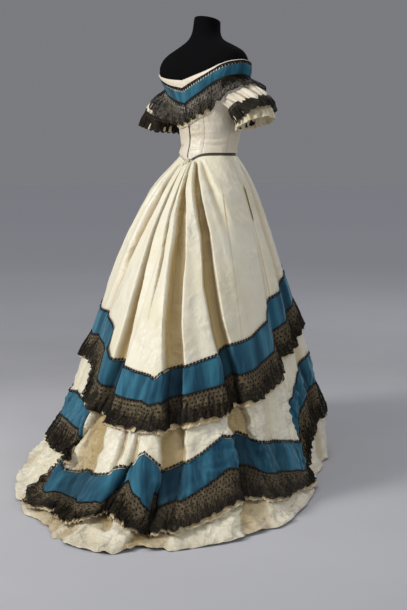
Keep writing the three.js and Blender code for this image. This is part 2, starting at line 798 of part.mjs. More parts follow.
function bertha() {
  const top = (deg) => bandBottom(deg) + BERTHA_OVERLAP;
  const velvetRows = (deg) => [
    { z: top(deg), lift: BERTHA_LIFT },
    { z: top(deg) - BERTHA_VELVET_WIDTH, lift: BERTHA_LIFT },
  ];
  bodyRing("bertha_velvet_band", "velvet", VELVET_THICK, velvetRows);
  const wave = (i) => (i % 2 ? BERTHA_WAVE : -BERTHA_WAVE);
  const lace = (extra) =>
    RING.map((deg, i) => {
      const drop = straight(NECK, "drop", deg);
      const spread = straight(NECK, "spread", deg);
      return [
        hanging(deg, 0, BERTHA_LIFT + extra),
        hanging(deg, drop / 2, lerp(BERTHA_LIFT, spread, 0.55) + wave(i) / 2 + extra),
        hanging(deg, drop, spread + wave(i) + extra),
      ];
    });
  place("bertha_lace", wall(lace(LACE_THICK), lace(0), true), "lace");
  const frill = (from, to, name) => {
    const directions = bodyDirections(from, to);
    const grid = (extra) =>
      directions.map((deg, i) => {
        const drop = straight(NECK, "drop", deg);
        return [
          hanging(deg, drop * 0.5, BERTHA_FRILL_SEAT + extra),
          hanging(deg, drop + BERTHA_FRILL_SHOWS, BERTHA_LIFT + 3 + extra),
        ];
      });
    place(name, wall(grid(FRILL_THICK), grid(0), false), "frill");
  };
  frill(-40, 40, "bertha_frill_back");
  frill(140, 220, "bertha_frill_front");
}

function waistband() {
  const rows = (deg) => [
    { z: waistLine(deg) - SEAM_GAP, lift: -WAISTBAND_INSET },
    { z: waistLine(deg) - SEAM_GAP - WAISTBAND_HEIGHT, lift: -WAISTBAND_INSET },
  ];
  bodyRing("waistband", "silk", BODICE_THICK, rows);
}

// Two short tape ends, tied at the centre back of the waist.
function waistTie() {
  const shape = new THREE.Shape();
  const half = TIE_WIDTH / 2;
  shape.moveTo(-half, 0);
  shape.lineTo(half, 0);
  shape.lineTo(TIE_SPREAD + half, -TIE_LENGTH);
  shape.lineTo(TIE_SPREAD - half, -TIE_LENGTH);
  shape.lineTo(0, -TIE_WIDTH * 2);
  shape.lineTo(half - TIE_SPREAD, -TIE_LENGTH * 0.8);
  shape.lineTo(-half - TIE_SPREAD, -TIE_LENGTH * 0.8);
  const geometry = new THREE.ExtrudeGeometry(shape, { depth: TIE_THICK, bevelEnabled: false });
  geometry.rotateX(Math.PI / 2 + TIE_TILT * RADIANS);
  const seat = liftedBody(0, TIE_KNOT_HEIGHT, BODICE_THICK + TIE_GAP).y;
  geometry.translate(0, seat, TIE_KNOT_HEIGHT);
  place("waist_tie", geometry, "frill");
}

// ---------------------------------------------------------------- sleeves

function sleevePoint(ring, turn, extra, side) {
  const grow = extra + ring.wave * Math.cos(SLEEVE_WAVES * turn);
  const up = (ring.up + grow) * Math.cos(turn);
  const x = ring.x + up * Math.sin(ring.tilt * RADIANS);
  const z = ring.z + up * Math.cos(ring.tilt * RADIANS) - (side > 0 ? LEFT_SLEEVE_LOWER : 0);
  const y = SLEEVE_CENTRE_Y + (ring.deep + grow) * Math.sin(turn);
  return new THREE.Vector3(side * x, y, z);
}

// The armhole follows the torso's side, a little out from it.
function armholePoint(turn, grow, side) {
  const y = SLEEVE_CENTRE_Y + (ARMHOLE_HALF_DEPTH + grow) * Math.sin(turn);
  const z = ARMHOLE_CENTRE_Z + (ARMHOLE_HALF_HEIGHT + grow) * Math.cos(turn);
  const centre = new THREE.Vector3(0, curve(BODY, "z", "centre", z), z);
  const point = new THREE.Vector3(side * bodySide(y, z), y, z);
  const out = point.clone().sub(centre).normalize();
  return point.addScaledVector(out, ARMHOLE_STAND);
}

function sleeveTube(name, material, thick, rings, side, fromArmhole) {
  const grid = (extra) => {
    const columns = [];
    for (let i = 0; i < SLEEVE_SIDES; i += 1) {
      const turn = (2 * Math.PI * i) / SLEEVE_SIDES;
      const points = rings.map((ring) => sleevePoint(ring, turn, extra, side));
      columns.push(fromArmhole ? [armholePoint(turn, extra, side), ...points] : points);
    }
    return side > 0 ? columns : columns.reverse();
  };
  place(name, wall(grid(thick), grid(0), true), material);
}

function sleeve(word, side) {
  sleeveTube(`sleeve_puff_${word}`, "silk", BODICE_THICK, PUFF, side, true);
  sleeveTube(`sleeve_lace_${word}`, "lace", LACE_THICK, SLEEVE_LACE, side, false);
  sleeveTube(`sleeve_frill_${word}`, "frill", FRILL_THICK, SLEEVE_FRILL, side, false);
}

// ---------------------------------------------------------------- the whole

torso();
stand();
BODICE_PANELS.forEach(bodicePanel);
neckBand();
bertha();
waistband();
waistTie();
sleeve("right", -1);
sleeve("left", 1);
GORES.forEach(gore);
tier("upper");
tier("lower");

export default model;
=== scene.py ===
"""The looks of an off-the-shoulder silk ball gown with a train, on a limbless dress form.

Sizes in the tables are millimetres, and points become metres when a mesh is made.
A direction is in degrees, from the centre back (+Y) towards the wearer's right (-X).
A level on the skirt counts the rows of PROFILE, from 0 at the waist to the last row at the hem.
"""
import math

import bpy
import mathutils
import numpy as np
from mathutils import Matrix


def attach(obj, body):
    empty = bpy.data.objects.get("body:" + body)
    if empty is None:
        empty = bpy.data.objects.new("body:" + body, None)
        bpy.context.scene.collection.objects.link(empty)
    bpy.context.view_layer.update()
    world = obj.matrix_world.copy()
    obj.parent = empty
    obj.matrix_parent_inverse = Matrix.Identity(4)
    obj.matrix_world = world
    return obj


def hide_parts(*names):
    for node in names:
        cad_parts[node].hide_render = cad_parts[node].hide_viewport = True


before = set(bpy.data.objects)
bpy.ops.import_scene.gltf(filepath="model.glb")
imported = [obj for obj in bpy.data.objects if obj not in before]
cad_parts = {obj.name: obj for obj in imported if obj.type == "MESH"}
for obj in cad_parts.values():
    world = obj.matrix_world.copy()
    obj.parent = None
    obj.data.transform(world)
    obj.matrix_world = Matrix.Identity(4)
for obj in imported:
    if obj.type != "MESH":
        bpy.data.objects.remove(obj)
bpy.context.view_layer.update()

MM = 0.001

# ---------------------------------------------------------------- the CAD's driving sizes

WAIST_SIDE, WAIST_FRONT, WAIST_BACK = 110, 86, 97
WAIST_HEIGHT, WAIST_DIP, WAIST_DIP_WIDTH = 1051, 22, 22
WAISTBAND_HEIGHT, SEAM_GAP = 9, 0.3

HEM = np.array([
    (0, 812), (15, 935), (30, 1062), (45, 985), (60, 855), (75, 650), (90, 500), (120, 425),
    (150, 402), (180, 405), (210, 430), (240, 475), (270, 540), (300, 590), (330, 640), (345, 700),
], float)
# Height, and the share of the way out to the hem in the train, at the sides and at the front.
PROFILE = np.array([
    (1041, 0.0, 0.0, 0.0), (1005, 0.028, 0.06, 0.075), (930, 0.095, 0.185, 0.2),
    (840, 0.17, 0.29, 0.31), (740, 0.25, 0.39, 0.42), (620, 0.34, 0.48, 0.55),
    (480, 0.435, 0.565, 0.7), (340, 0.54, 0.67, 0.84), (220, 0.64, 0.75, 0.93),
    (120, 0.75, 0.83, 0.985), (50, 0.86, 0.91, 1.0), (2, 1.0, 1.0, 1.0),
])
# How far each direction follows the train's and the side's fall.
FALL = np.array([
    (-120, 0.0, 0.5), (-80, 0.0, 0.8), (-45, 0.0, 1.0), (-10, 0.6, 0.4), (30, 1.0, 0.0),
    (65, 0.8, 0.2), (100, 0.1, 0.6), (137, 0.0, 0.0), (180, 0.0, 0.0), (220, 0.0, 0.2),
])
HEM_LEVEL = len(PROFILE) - 1

# The valleys between the skirt's pleats. Each row gives the directions of the left and of the
# right edge at each of FOLD_LEVELS, the depth there, and the shares of the width that the left
# and the right wall take, small for a sharp pleat.
FOLD_LEVELS = [0, 1.2, 2.0, 2.8, 3.5, 4.2, 4.9, 5.7, 6.6, 8.6, 11]
VALLEYS = [
    ((-24, -30, -34, -38, -40, -42, -43, -44, -45, -48, -48),
     (-18, -22, -24, -28, -31, -34, -36, -38, -39, -42, -42),
     (4, 10, 12, 12, 13, 15, 17, 18, 18, 16, 10), 0.7, 0.4),
    ((-14, -18, -20, -23, -23, -23, -24, -26, -27, -29, -30),
     (-7, -6, -5, -5, -6, -8, -9, -12, -15, -20, -22),
     (4, 18, 30, 34, 33, 28, 18, 9, 8, 12, 10), 0.45, 0.16),
    ((-4, 0, 1, 2, 3, 5.5, 7, 8.5, 9.5, 10, 10),
     (0, 4, 5.4, 6.8, 8.5, 11, 13.5, 15.2, 18, 21, 22),
     (6, 20, 30, 36, 38, 38, 38, 38, 38, 22, 16), 0.4, 0.14),
    ((5, 9, 11.4, 13, 16, 19.6, 21.2, 22.4, 23, 24, 24),
     (7.4, 12, 14.6, 16.4, 19.6, 22.6, 23.6, 24, 24.6, 26, 26),
     (6, 14, 19, 20, 18, 16, 10, 2, 0, 0, 0), 0.2, 0.45),
    ((9.5, 14, 17.4, 20, 24, 26, 28, 30, 33, 36, 35),
     (13, 18, 23, 30, 33, 35, 36, 37, 39.5, 42, 41),
     (8, 20, 28, 33, 38, 42, 44, 44, 44, 36, 20), 0.09, 0.2),
    ((16, 24, 30, 36.5, 41, 43, 44, 47, 50.5, 53, 52),
     (20, 32, 39, 44, 48, 49.4, 51, 53, 57, 61, 60),
     (8, 24, 36, 44, 46, 46, 46, 44, 40, 30, 16), 0.1, 0.3),
    ((24, 35, 44, 50, 54, 57, 59, 61, 62, 62, 62),
     (33, 47, 57, 64, 67, 69, 70, 71, 72, 72, 72),
     (5, 13, 14, 9, 5, 3, 3, 4, 6, 12, 8), 0.5, 0.6),
    ((80, 85, 86, 86, 85, 84, 83, 82, 82, 82, 82),
     (84, 89, 90, 90, 92, 93, 93, 92, 90, 88, 88),
     (4, 6, 6, 6, 7, 8, 10, 12, 14, 16, 12), 0.4, 0.6),
    ((96, 96, 97, 98, 98, 99, 100, 100, 101, 102, 102),
     (112, 113, 114, 115, 115, 116, 117, 117, 118, 119, 119),
     (4, 8, 10, 11, 12, 12, 13, 14, 15, 17, 14), 0.5, 0.5),
    ((122, 122, 123, 124, 124, 125, 126, 127, 128, 129, 129),
     (138, 138, 139, 140, 140, 140, 141, 142, 143, 144, 144),
     (6, 12, 14, 15, 16, 16, 17, 18, 19, 19, 15), 0.3, 0.6),
    ((150, 150, 151, 152, 153, 153, 154, 154, 154, 154, 154),
     (166, 167, 167, 168, 168, 169, 170, 170, 170, 170, 170),
     (4, 8, 9, 10, 11, 12, 13, 14, 14, 14, 12), 0.5, 0.5),
    ((177, 177, 178, 178, 179, 180, 180, 180, 181, 181, 181),
     (191, 192, 193, 194, 195, 195, 196, 196, 196, 197, 197),
     (5, 11, 14, 15, 16, 17, 17, 18, 18, 18, 15), 0.55, 0.3),
    ((203, 203, 204, 205, 206, 206, 207, 207, 207, 207, 207),
     (218, 219, 220, 221, 221, 222, 222, 223, 223, 224, 224),
     (4, 9, 10, 11, 11, 12, 12, 13, 14, 15, 12), 0.5, 0.5),
    ((230, 230, 230, 230, 230, 230, 230, 230, 230, 230, 230),
     (243, 244, 244, 244, 244, 244, 244, 244, 244, 244, 244),
     (5, 12, 15, 17, 18, 18, 19, 20, 20, 20, 16), 0.6, 0.25),
    ((255, 254, 252, 251, 250, 249, 248, 248, 248, 248, 248),
     (269, 268, 266, 265, 264, 263, 263, 262, 262, 262, 262),
     (5, 13, 16, 17, 18, 19, 20, 20, 20, 20, 16), 0.6, 0.2),
    ((282, 278, 275, 273, 271, 270, 269, 268, 268, 268, 268),
     (295, 291, 288, 286, 283, 282, 281, 280, 279, 279, 279),
     (6, 18, 24, 26, 27, 27, 27, 26, 26, 24, 18), 0.65, 0.16),
    ((306, 300, 295, 291, 288, 286, 285, 284, 284, 284, 284),
     (318, 312, 307, 303, 300, 298, 296, 295, 295, 295, 295),
     (6, 20, 27, 30, 31, 31, 30, 30, 30, 28, 20), 0.65, 0.15),
]
WALL_RISE, RISE_SPREAD = 0.2, 6.0
FOLD_FULL_LEVEL = 1.4
# A valley this deep gets the full painted shade.
DARK_DEPTH = 26
# Where the train's cloth lies over itself: direction, level, half widths in both, and height,
# of which DRAPE_SHARE is used.
DRAPES = [
    (24, 9.5, 2, 1.4, 14), (33.4, 9.2, 1.6, 1.2, 24), (6.5, 9.6, 1.6, 1.3, -24), (10.5, 9.4, 2.4, 1.4, 18),
    (20, 10.3, 2, 0.8, 12), (45, 9.9, 5, 0.9, 14), (66, 9.6, 3, 1.2, -14), (-12, 9.4, 4, 1.6, 14),
    (86, 8.6, 1.6, 1.6, -22), (82, 8.8, 2.2, 1.6, 18), (16, 8.6, 3, 0.6, 10),
]
DRAPE_SHARE = 0.7
# Short folds between the tiers and at the hem: levels, left and right edges, depth, and walls.
SHORT_FOLDS = [
    ((7.6, 7.9, 8.6, 9.0), (10.0, 10.0, 8.6, 8.0), (13.0, 13.0, 11.2, 10.0), (0, 18, 20, 0), 0.4, 0.25),
    ((7.7, 8.0, 8.7, 9.0), (25.4, 25.4, 25.6, 26.0), (27.4, 27.4, 27.4, 27.0), (0, 17, 17, 0), 0.3, 0.3),
    ((7.8, 8.1, 8.5, 8.8), (28.9, 28.9, 29.1, 29.4), (30.6, 30.8, 30.8, 30.4), (0, 17, 15, 0), 0.3, 0.3),
    ((9.4, 9.7, 10.4, 10.8), (-33, -33.5, -33, -30), (-28, -29.5, -28.5, -25), (0, 16, 16, 0), 0.3, 0.4),
    ((9.8, 10.2, 10.7, 11), (0, 1, 2, 3), (3.4, 4.6, 5.8, 6.6), (0, 14, 18, 12), 0.3, 0.5),
    ((9.9, 10.3, 10.8, 11), (13, 14, 16, 17), (15.4, 16.8, 19, 20), (0, 10, 14, 10), 0.5, 0.3),
    ((10.1, 10.4, 10.8, 11), (23, 23, 22, 22), (25.6, 26, 25.4, 25), (0, 12, 20, 14), 0.3, 0.4),
    ((8.2, 8.6, 9.6, 10.4), (58, 58.6, 59, 60), (62, 63, 64, 65), (0, 14, 14, 0), 0.3, 0.6),
    ((8.5, 8.8, 9.4, 10.0, 10.7), (28.4, 27.8, 26.2, 25.4, 25.4), (31, 30.8, 30.2, 31, 30.6),
     (0, 22, 34, 34, 0), 0.4, 0.3),
    ((8.8, 9.2, 9.9, 10.6, 11), (35.6, 35.4, 34.6, 33.8, 33), (37, 37.2, 37.8, 38, 38),
     (0, 22, 46, 48, 20), 0.3, 0.25),
    ((8.4, 8.8, 9.3, 9.8), (-20, -20, -21, -22), (-15, -16, -17, -18), (0, 14, 14, 0), 0.5, 0.2),
]

# The bands of velvet and lace round the skirt. Each row gives a direction and a distance up the
# cloth from the hem for the velvet's top edge, for its foot and for the lace's edge, and how far
# the place stands out where the cloth lies over itself.
UPPER_BAND = [
    (-180, 690, -180, 590, -180, 488, 0), (-120, 650, -120, 550, -120, 448, 0),
    (-60, 590, -60, 492, -60, 392, 0), (-33, 577, -33, 486, -34, 392, 0), (-1, 634, -2, 562, -3, 476, 0),
    (1.6, 632, 1.2, 556, 0, 462, 0), (3.6, 572, 6.5, 478, 4, 384, 6), (10, 564, 11, 480, 10, 384, 3),
    (18, 587, 20.5, 503, 20, 404, 0), (26.5, 612, 27, 526, 27, 424, 0), (29.6, 614, 28.8, 530, 29, 426, 3),
    (31, 604, 31, 520, 31, 424, 4), (32.6, 628, 33, 530, 33, 428, 0), (39, 635, 40, 540, 40, 436, 0),
    (50, 634, 50, 534, 50, 430, 0), (55, 643, 55, 543, 55, 438, 0), (65, 606, 65, 506, 65, 406, 0),
    (78.5, 570, 79, 468, 79, 368, 3), (80.5, 592, 80, 476, 80, 374, 0), (84, 600, 84, 500, 84, 398, 0),
    (90, 605, 90, 505, 90, 403, 0), (100, 606, 100, 506, 100, 404, 0), (118, 650, 118, 550, 118, 448, 0),
    (150, 682, 150, 582, 150, 480, 0), (180, 690, 180, 590, 180, 488, 0),
]
LOWER_BAND = [
    (-180, 345, -180, 245, -180, 126, 0), (-120, 330, -120, 230, -120, 112, 0),
    (-60, 290, -60, 194, -60, 92, 0), (-35, 262, -36, 170, -35, 84, 0), (-2, 369, -3, 282, 1, 192, 0),
    (8, 398, 8, 311, 11, 236, 2), (9.4, 394, 9.6, 300, 12, 226, 0), (9.8, 250, 9.6, 236, 8.8, 214, 2),
    (9.9, 240, 9.2, 176, 6.2, 150, 9), (10.2, 206, 8.2, 98, 4.2, 34, 10), (11.2, 190, 9.6, 96, 8, 14, 4),
    (12.4, 190, 12, 106, 12.6, 22, 6), (17, 219, 17, 124, 19, 46, 2), (22, 250, 22, 150, 24, 74, 2),
    (26, 273, 25.8, 178, 26, 92, 5), (28.2, 306, 26.4, 172, 27.4, 96, 9),
    (29.9, 320, 27.4, 204, 28.6, 128, 4), (30.4, 312, 29.6, 240, 29.8, 118, 0),
    (31, 322, 31, 272, 30.6, 142, 3), (32, 350, 34, 214, 33, 104, 12), (33, 364, 35.2, 170, 34.6, 62, 13),
    (35.9, 318, 35.6, 236, 35.8, 56, 4), (36.3, 292, 36.4, 176, 36.8, 44, 0),
    (36.8, 288, 37.6, 168, 38, 44, 2), (40, 304, 41, 188, 42, 70, 2), (46, 341, 47, 232, 48, 106, 0),
    (50, 367, 51, 262, 53, 138, 3), (55, 345, 55, 245, 55, 128, 0), (65, 262, 65, 162, 65, 62, 0),
    (78, 172, 79, 74, 79, 20, 2), (82, 156, 83, 60, 83, 14, 3), (84.6, 168, 86, 92, 86, 20, 2),
    (88, 262, 91, 196, 92, 84, 0), (100, 328, 100, 228, 100, 110, 0), (118, 361, 118, 261, 118, 143, 0),
    (150, 352, 150, 252, 150, 134, 0), (180, 345, 180, 245, 180, 126, 0),
]
UPPER_LACE_DEPTH, LOWER_LACE_DEPTH = 102, 118
# The cut depth of the bertha's and the sleeves' lace, in metres.
NARROW_LACE = 0.072

GORES = [
    ("skirt_centre_back", -12, 18), ("skirt_back_right", 18, 60), ("skirt_side_right", 60, 90),
    ("skirt_side_front_right", 90, 143.325), ("skirt_front", 143.325, 208.5),
    ("skirt_side_front_left", 208.5, 261.825), ("skirt_side_left", 261.825, 303.3),
    ("skirt_back_left", 303.3, 348),
]
POCKET_SEAM, POCKET_TOP, POCKET_BOTTOM = 90, 950, 815

# From this level down the silk is crushed, and its lowest part is soiled.
CRUSH_LEVEL, CRUSH_BLEND = 6.6, 1.2
SOIL_HEIGHT, SOIL = 40, 0.45
HEM_ROLL = 6
# The lengths of a flounce's waves.
SHORT_WAVE, LONG_WAVE = 24, 61
# Places round the skirt at which a band and its flounces are worked out, and how much of the
# silk's crumples shows through the flounces.
BAND_PLACES, FLOUNCE_PLACES, SHOWS_THROUGH = 1441, 2161, 0.6

# The torso: height, half width, centre, half depth, and how square its outline is.
BODY = np.array([
    (850, 140, 2, 96, 2), (890, 146, 2, 104, 2), (930, 144, 2, 104, 2), (1000, 118, 3, 92, 2),
    (1050, 108, 4, 90, 2), (1085, 107, -2, 87, 2), (1134, 118, -4, 92, 2), (1180, 128, -2, 102, 2),
    (1240, 143, 2, 112, 2.1), (1292, 168, 17, 109, 2.4), (1335, 190, 26, 93, 2.7),
    (1366, 186, 26, 80, 2.7), (1388, 168, 23, 70, 2.5), (1410, 124, 20, 60, 2.2),
    (1430, 80, 18, 54, 2), (1455, 56, 13, 52, 2), (1497, 48, 8, 50, 2),
])
# The neck's top slants from this height up.
NECK_SLANT, SLANT_HEIGHT = 0.2, 1440
# The form lies this far inside the torso's surface: above the waist, and how much more below it.
FORM_INSET, FORM_INSET_BELOW = 4.5, 8
# Radius and height along the outlines of the pole and the base.
POLE = [(0.5, 12.4), (16, 12.4), (16, 13), (16, 420), (15.7, 421), (16, 422), (16, 849), (0.5, 849.6)]
BASE = [
    (0.5, 0), (168, 0), (170, 1.2), (170, 6), (169, 8.5), (167, 10.5), (164, 11.6), (160, 12), (40, 12),
    (0.5, 12),
]

# The neckline's height, the ivory band's depth, the drop and the spread of the bertha's lace.
NECK = np.array([
    (-180, 1296, 34, 62, 14), (-137, 1330, 16, 36, 50), (-120, 1334, 13, 32, 62),
    (-90, 1338, 12, 38, 72), (-72, 1334, 14, 50, 76), (-60, 1327, 19, 70, 66),
    (-45, 1314, 26, 98, 34), (-20, 1300, 36, 84, 13), (0, 1292, 41, 64, 12), (27, 1316, 29, 72, 13),
    (45, 1336, 20, 84, 16), (60, 1346, 15, 50, 40), (72, 1350, 13, 38, 58), (90, 1354, 12, 32, 66),
    (120, 1346, 13, 32, 62), (137, 1340, 16, 36, 50), (180, 1296, 34, 62, 14),
], float)
BERTHA_VELVET_WIDTH, BERTHA_OVERLAP, BERTHA_LIFT = 40, 2, 4.2

BODICE_PANELS = [
    ("bodice_back_right", 0, 30), ("bodice_side_back_right", 30, 80),
    ("bodice_front_right", 80, 180), ("bodice_front_left", 180, 280),
    ("bodice_side_back_left", 280, 330), ("bodice_back_left", 330, 360),
]
ARMHOLE_BOTTOM, ARMHOLE_BACK, ARMHOLE_UNDER = 1216, 50, 66
ARMHOLE_FRONT_UNDER, ARMHOLE_FRONT = 100, 120

# The sleeve's rings: centre across and up, tilt, half size up and down, half size in depth.
SLEEVE_CENTRE_Y, LEFT_SLEEVE_LOWER, RIGHT_SLEEVE_YAW, LEFT_PUFF_SLIMMER = 15, 12, 0.4, 7
ARMHOLE_CENTRE_Z, ARMHOLE_HALF_HEIGHT, ARMHOLE_HALF_DEPTH, ARMHOLE_STAND = 1242, 43, 54, 2.4
PUFF = np.array([
    (178, 1230, 35, 54, 64), (202, 1217, 52, 62, 72), (216, 1200, 68, 72, 76), (222, 1178, 80, 56, 60),
], float)
SLEEVE_LACE = {
    -1: np.array([(212, 1206, 64, 70, 76), (228, 1188, 62, 77, 86), (240, 1164, 64, 80, 92)], float),
    1: np.array([(210, 1204, 66, 68, 74), (220, 1180, 70, 72, 82), (230, 1152, 74, 74, 88)], float),
}
SLEEVE_FRILL = {
    -1: np.array([(214, 1196, 68, 62, 70), (228, 1170, 70, 70, 78), (238, 1144, 74, 76, 86)], float),
    1: np.array([(212, 1190, 70, 60, 70), (221, 1172, 74, 64, 74), (227, 1155, 76, 68, 80)], float),
}

# ---------------------------------------------------------------- curves and noise


def hermite(t, start, end, slope_in, slope_out):
    """A cubic from start to end while t goes from 0 to 1, with a slope at each end."""
    t2, t3 = t * t, t * t * t
    return (
        (2 * t3 - 3 * t2 + 1) * start + (t3 - 2 * t2 + t) * slope_in
        + (3 * t2 - 2 * t3) * end + (t3 - t2) * slope_out
    )


def cubic(keys, values, at, i):
    before, after = np.maximum(i - 1, 0), np.minimum(i + 2, len(keys) - 1)
    span = keys[i + 1] - keys[i]
    slope_in = (values[i + 1] - values[before]) / (keys[i + 1] - keys[before]) * span
    slope_out = (values[after] - values[i]) / (keys[after] - keys[i]) * span
    return hermite((at - keys[i]) / span, values[i], values[i + 1], slope_in, slope_out)


def curve(keys, values, at):
    """A smooth curve through rows, in the order of their keys."""
    at = np.asarray(at, float)
    i = np.clip(np.searchsorted(keys, at, side="right") - 1, 0, len(keys) - 2)
    return cubic(keys, values, at, i)


def around(table, column, deg):
    """The same round the whole circle of directions."""
    keys, values = table[:, 0], table[:, column]
    keys = np.concatenate([keys[-2:] - 360, keys, keys[:2] + 360])
    values = np.concatenate([values[-2:], values, values[:2]])
    at = (np.asarray(deg, float) - table[0, 0]) % 360 + table[0, 0]
    i = np.clip(np.searchsorted(keys, at, side="right") - 1, 1, len(keys) - 3)
    return cubic(keys, values, at, i)


def straight(table, column, deg):
    return np.interp(turned(deg, 0), table[:, 0], table[:, column])


def turned(deg, centre):
    return (np.asarray(deg, float) - centre + 180) % 360 - 180


def smooth(t):
    t = np.clip(t, 0, 1)
    return t * t * (3 - 2 * t)


def mix(a, b, t):
    return a + (b - a) * t


LATTICE = np.random.RandomState(7).rand(32, 32, 32)


def noise(p, size, seed=0):
    """Smooth noise from -1 to 1 at points p, for bumps about size across."""
    q = np.asarray(p, float) / size + seed * 7.31
    cell = np.floor(q).astype(int)
    f = q - cell
    f = f * f * (3 - 2 * f)
    total = 0
    for corner in range(8):
        step = np.array([corner & 1, corner >> 1 & 1, corner >> 2 & 1])
        at = (cell + step) % 32
        weight = np.prod(np.where(step, f, 1 - f), axis=-1)
        total = total + weight * LATTICE[at[..., 0], at[..., 1], at[..., 2]]
    return total * 2 - 1


def noise_along(along, size, seed, shift=0):
    """The same noise at distances along one line."""
    return noise(np.stack([along, along * 0 + shift, along * 0], -1), size, seed)


def shares(count):
    """Even steps from 0 to 1, as one row."""
    return np.linspace(0, 1, count)[None]


def creases(p, size, seed=0):
    """Sharp ridges between soft hollows, from 0 to 1, as in crushed taffeta."""
    return 1 - np.abs(noise(p, size, seed)) - 0.35 * np.abs(noise(p, size * 0.53, seed + 3))


# ---------------------------------------------------------------- the skirt's surface


def waist_radius(deg):
    rad = np.radians(deg)
    back = np.cos(rad)
    return 1 / np.hypot(np.sin(rad) / WAIST_SIDE, back / np.where(back > 0, WAIST_BACK, WAIST_FRONT))


def waist_line(deg):
    return WAIST_HEIGHT - WAIST_DIP * np.exp(-(turned(deg, 0) / WAIST_DIP_WIDTH) ** 2)


def rows_out(deg):
    """Radius and height at each row of PROFILE, for a flat list of directions."""
    train, side = around(FALL, 1, deg), around(FALL, 2, deg)
    waist, hem = waist_radius(deg), around(HEM, 1, deg)
    share = (
        PROFILE[:, 1, None] * train + PROFILE[:, 2, None] * side + PROFILE[:, 3, None] * (1 - train - side)
    )
    radius = waist + (hem - waist) * share
    height = np.repeat(PROFILE[:, :1], len(deg), axis=1)
    height[0] = waist_line(deg) - WAISTBAND_HEIGHT - 3 * SEAM_GAP
    return radius, height


def at_level(rows, level):
    """A smooth curve down each column of rows, at level[column, ...]."""
    i = np.clip(np.floor(level).astype(int), 0, HEM_LEVEL - 1)
    column = np.arange(rows.shape[1])[:, None]
    a, b, c, d = (rows[np.clip(i + step, 0, HEM_LEVEL), column] for step in (-1, 0, 1, 2))
    slope_in = np.where(i > 0, (c - a) / 2, c - b)
    slope_out = np.where(i < HEM_LEVEL - 1, (d - b) / 2, c - b)
    return hermite(level - i, b, c, slope_in, slope_out)


ALL_FOLDS = [(FOLD_LEVELS,) + row for row in VALLEYS] + SHORT_FOLDS


def valley_of(row, deg, level):
    """Where deg lies across a valley, from 0 to 1, its depth there and its width."""
    levels, left, right, deep = row[:4]
    start = np.interp(level, levels, left)
    wide = np.interp(level, levels, right) - start
    return turned(deg, start + wide / 2) / wide + 0.5, np.interp(level, levels, deep), wide


def fold_depth(deg, level):
    """How far the pleats' valleys lie in, less what their edges stand out."""
    depth = np.zeros_like(level)
    for row in ALL_FOLDS:
        left_wall, right_wall = row[4:]
        t, deep, wide = valley_of(row, deg, level)
        start, end = smooth(t / left_wall), smooth((1 - t) / right_wall)
        before = smooth(1 + t * wide / RISE_SPREAD) * (1 - start) * (1 - left_wall)
        after = smooth(1 + (1 - t) * wide / RISE_SPREAD) * (1 - end) * (1 - right_wall)
        depth += deep * (start * end - WALL_RISE * (before + after))
    return depth


def fold_shade(deg, level):
    """How much each place lies in a valley, from 0 to 1, most beside its sharper wall: the pleats' painted
    shade.
    """
    shade = np.zeros_like(level)
    for row in ALL_FOLDS:
        left_wall, right_wall = row[4:]
        t, deep, _ = valley_of(row, deg, level)
        lean = np.where(left_wall < right_wall, 1 - 0.4 * t, 0.7 + 0.3 * t)
        inside = smooth(t / left_wall * 1.3) * smooth((1 - t) / right_wall * 1.3)
        shade = np.maximum(shade, inside * lean * np.clip(deep / DARK_DEPTH, 0, 1))
    return shade


def skirt(deg, level):
    """Points on the skirt for directions deg[column] and levels level[column, row]."""
    radius, height = rows_out(deg)
    column = deg[:, None]
    depth = fold_depth(column, level) * smooth(level / FOLD_FULL_LEVEL)
    fade = smooth(level / 0.5) * (1 - smooth((level - 0.9) / 1.8))
    wander = np.radians(column) * 34 + 3.0 * np.sin(np.radians(column) * 7 + 1)
    gather = 3.2 * np.sin(wander) * fade * np.exp(-(turned(column, 2) / 24) ** 2)
    r = at_level(radius, level) - depth - gather
    for centre, middle, wide, tall, out in DRAPES:
        away = (turned(column, centre) / wide) ** 2 + ((level - middle) / tall) ** 2
        r = r + out * np.exp(-away) * DRAPE_SHARE
    rad = np.radians(column)
    return np.stack([-r * np.sin(rad), r * np.cos(rad), at_level(height, level)], axis=-1)


def skirt_normal(deg, level):
    across = skirt(deg + 0.4, level) - skirt(deg - 0.4, level)
    down = skirt(deg, np.minimum(level + 0.06, HEM_LEVEL)) - skirt(deg, np.maximum(level - 0.06, 0))
    n = np.cross(down, across)
    return n / np.linalg.norm(n, axis=-1, keepdims=True)


def level_up(deg, up):
    """The level that lies a given distance up the cloth from the hem, for up[column, ...]."""
    radius, height = rows_out(deg)
    steps = np.linspace(HEM_LEVEL, 0, 221)
    level = np.repeat(steps[None], len(deg), axis=0)
    r, z = at_level(radius, level), at_level(height, level)
    gone = np.cumsum(np.hypot(np.diff(r, axis=1), np.diff(z, axis=1)), axis=1)
    gone = np.concatenate([np.zeros((len(deg), 1)), gone], axis=1)
    return np.stack([np.interp(up[i], gone[i], steps) for i in range(len(deg))])


def low_down(level):
    """From 0 above the skirt's crushed part to 1 well inside it."""
    return smooth((level - CRUSH_LEVEL) / CRUSH_BLEND)


def crushed(points, level):
    """How crushed the taffeta is, from 0 to 1, most low on the skirt."""
    return low_down(level) * mix(0.45, 1.0, smooth(noise(points, 170, 9) * 1.2 + 0.5))


def crumple(points, level):
    """How far crushed taffeta stands off its smooth fall."""
    crush = crushed(points, level)
    soft = noise(points * np.array([1, 1, 0.55]), 95, 1) * mix(2.4, 5.0, low_down(level))
    wide = (creases(points * np.array([1, 1, 0.8]), 62, 2) - 0.5) * mix(1.8, 13.0, crush)
    flat = (creases(points * np.array([0.8, 0.8, 2.4]), 40, 22) - 0.5) * 8.0 * crush
    fine = (creases(points * np.array([1, 1, 1.5]), 25, 5) - 0.5) * mix(0.8, 7.0, crush)
    return (soft + wide + flat + fine) * smooth(level / 1.5)


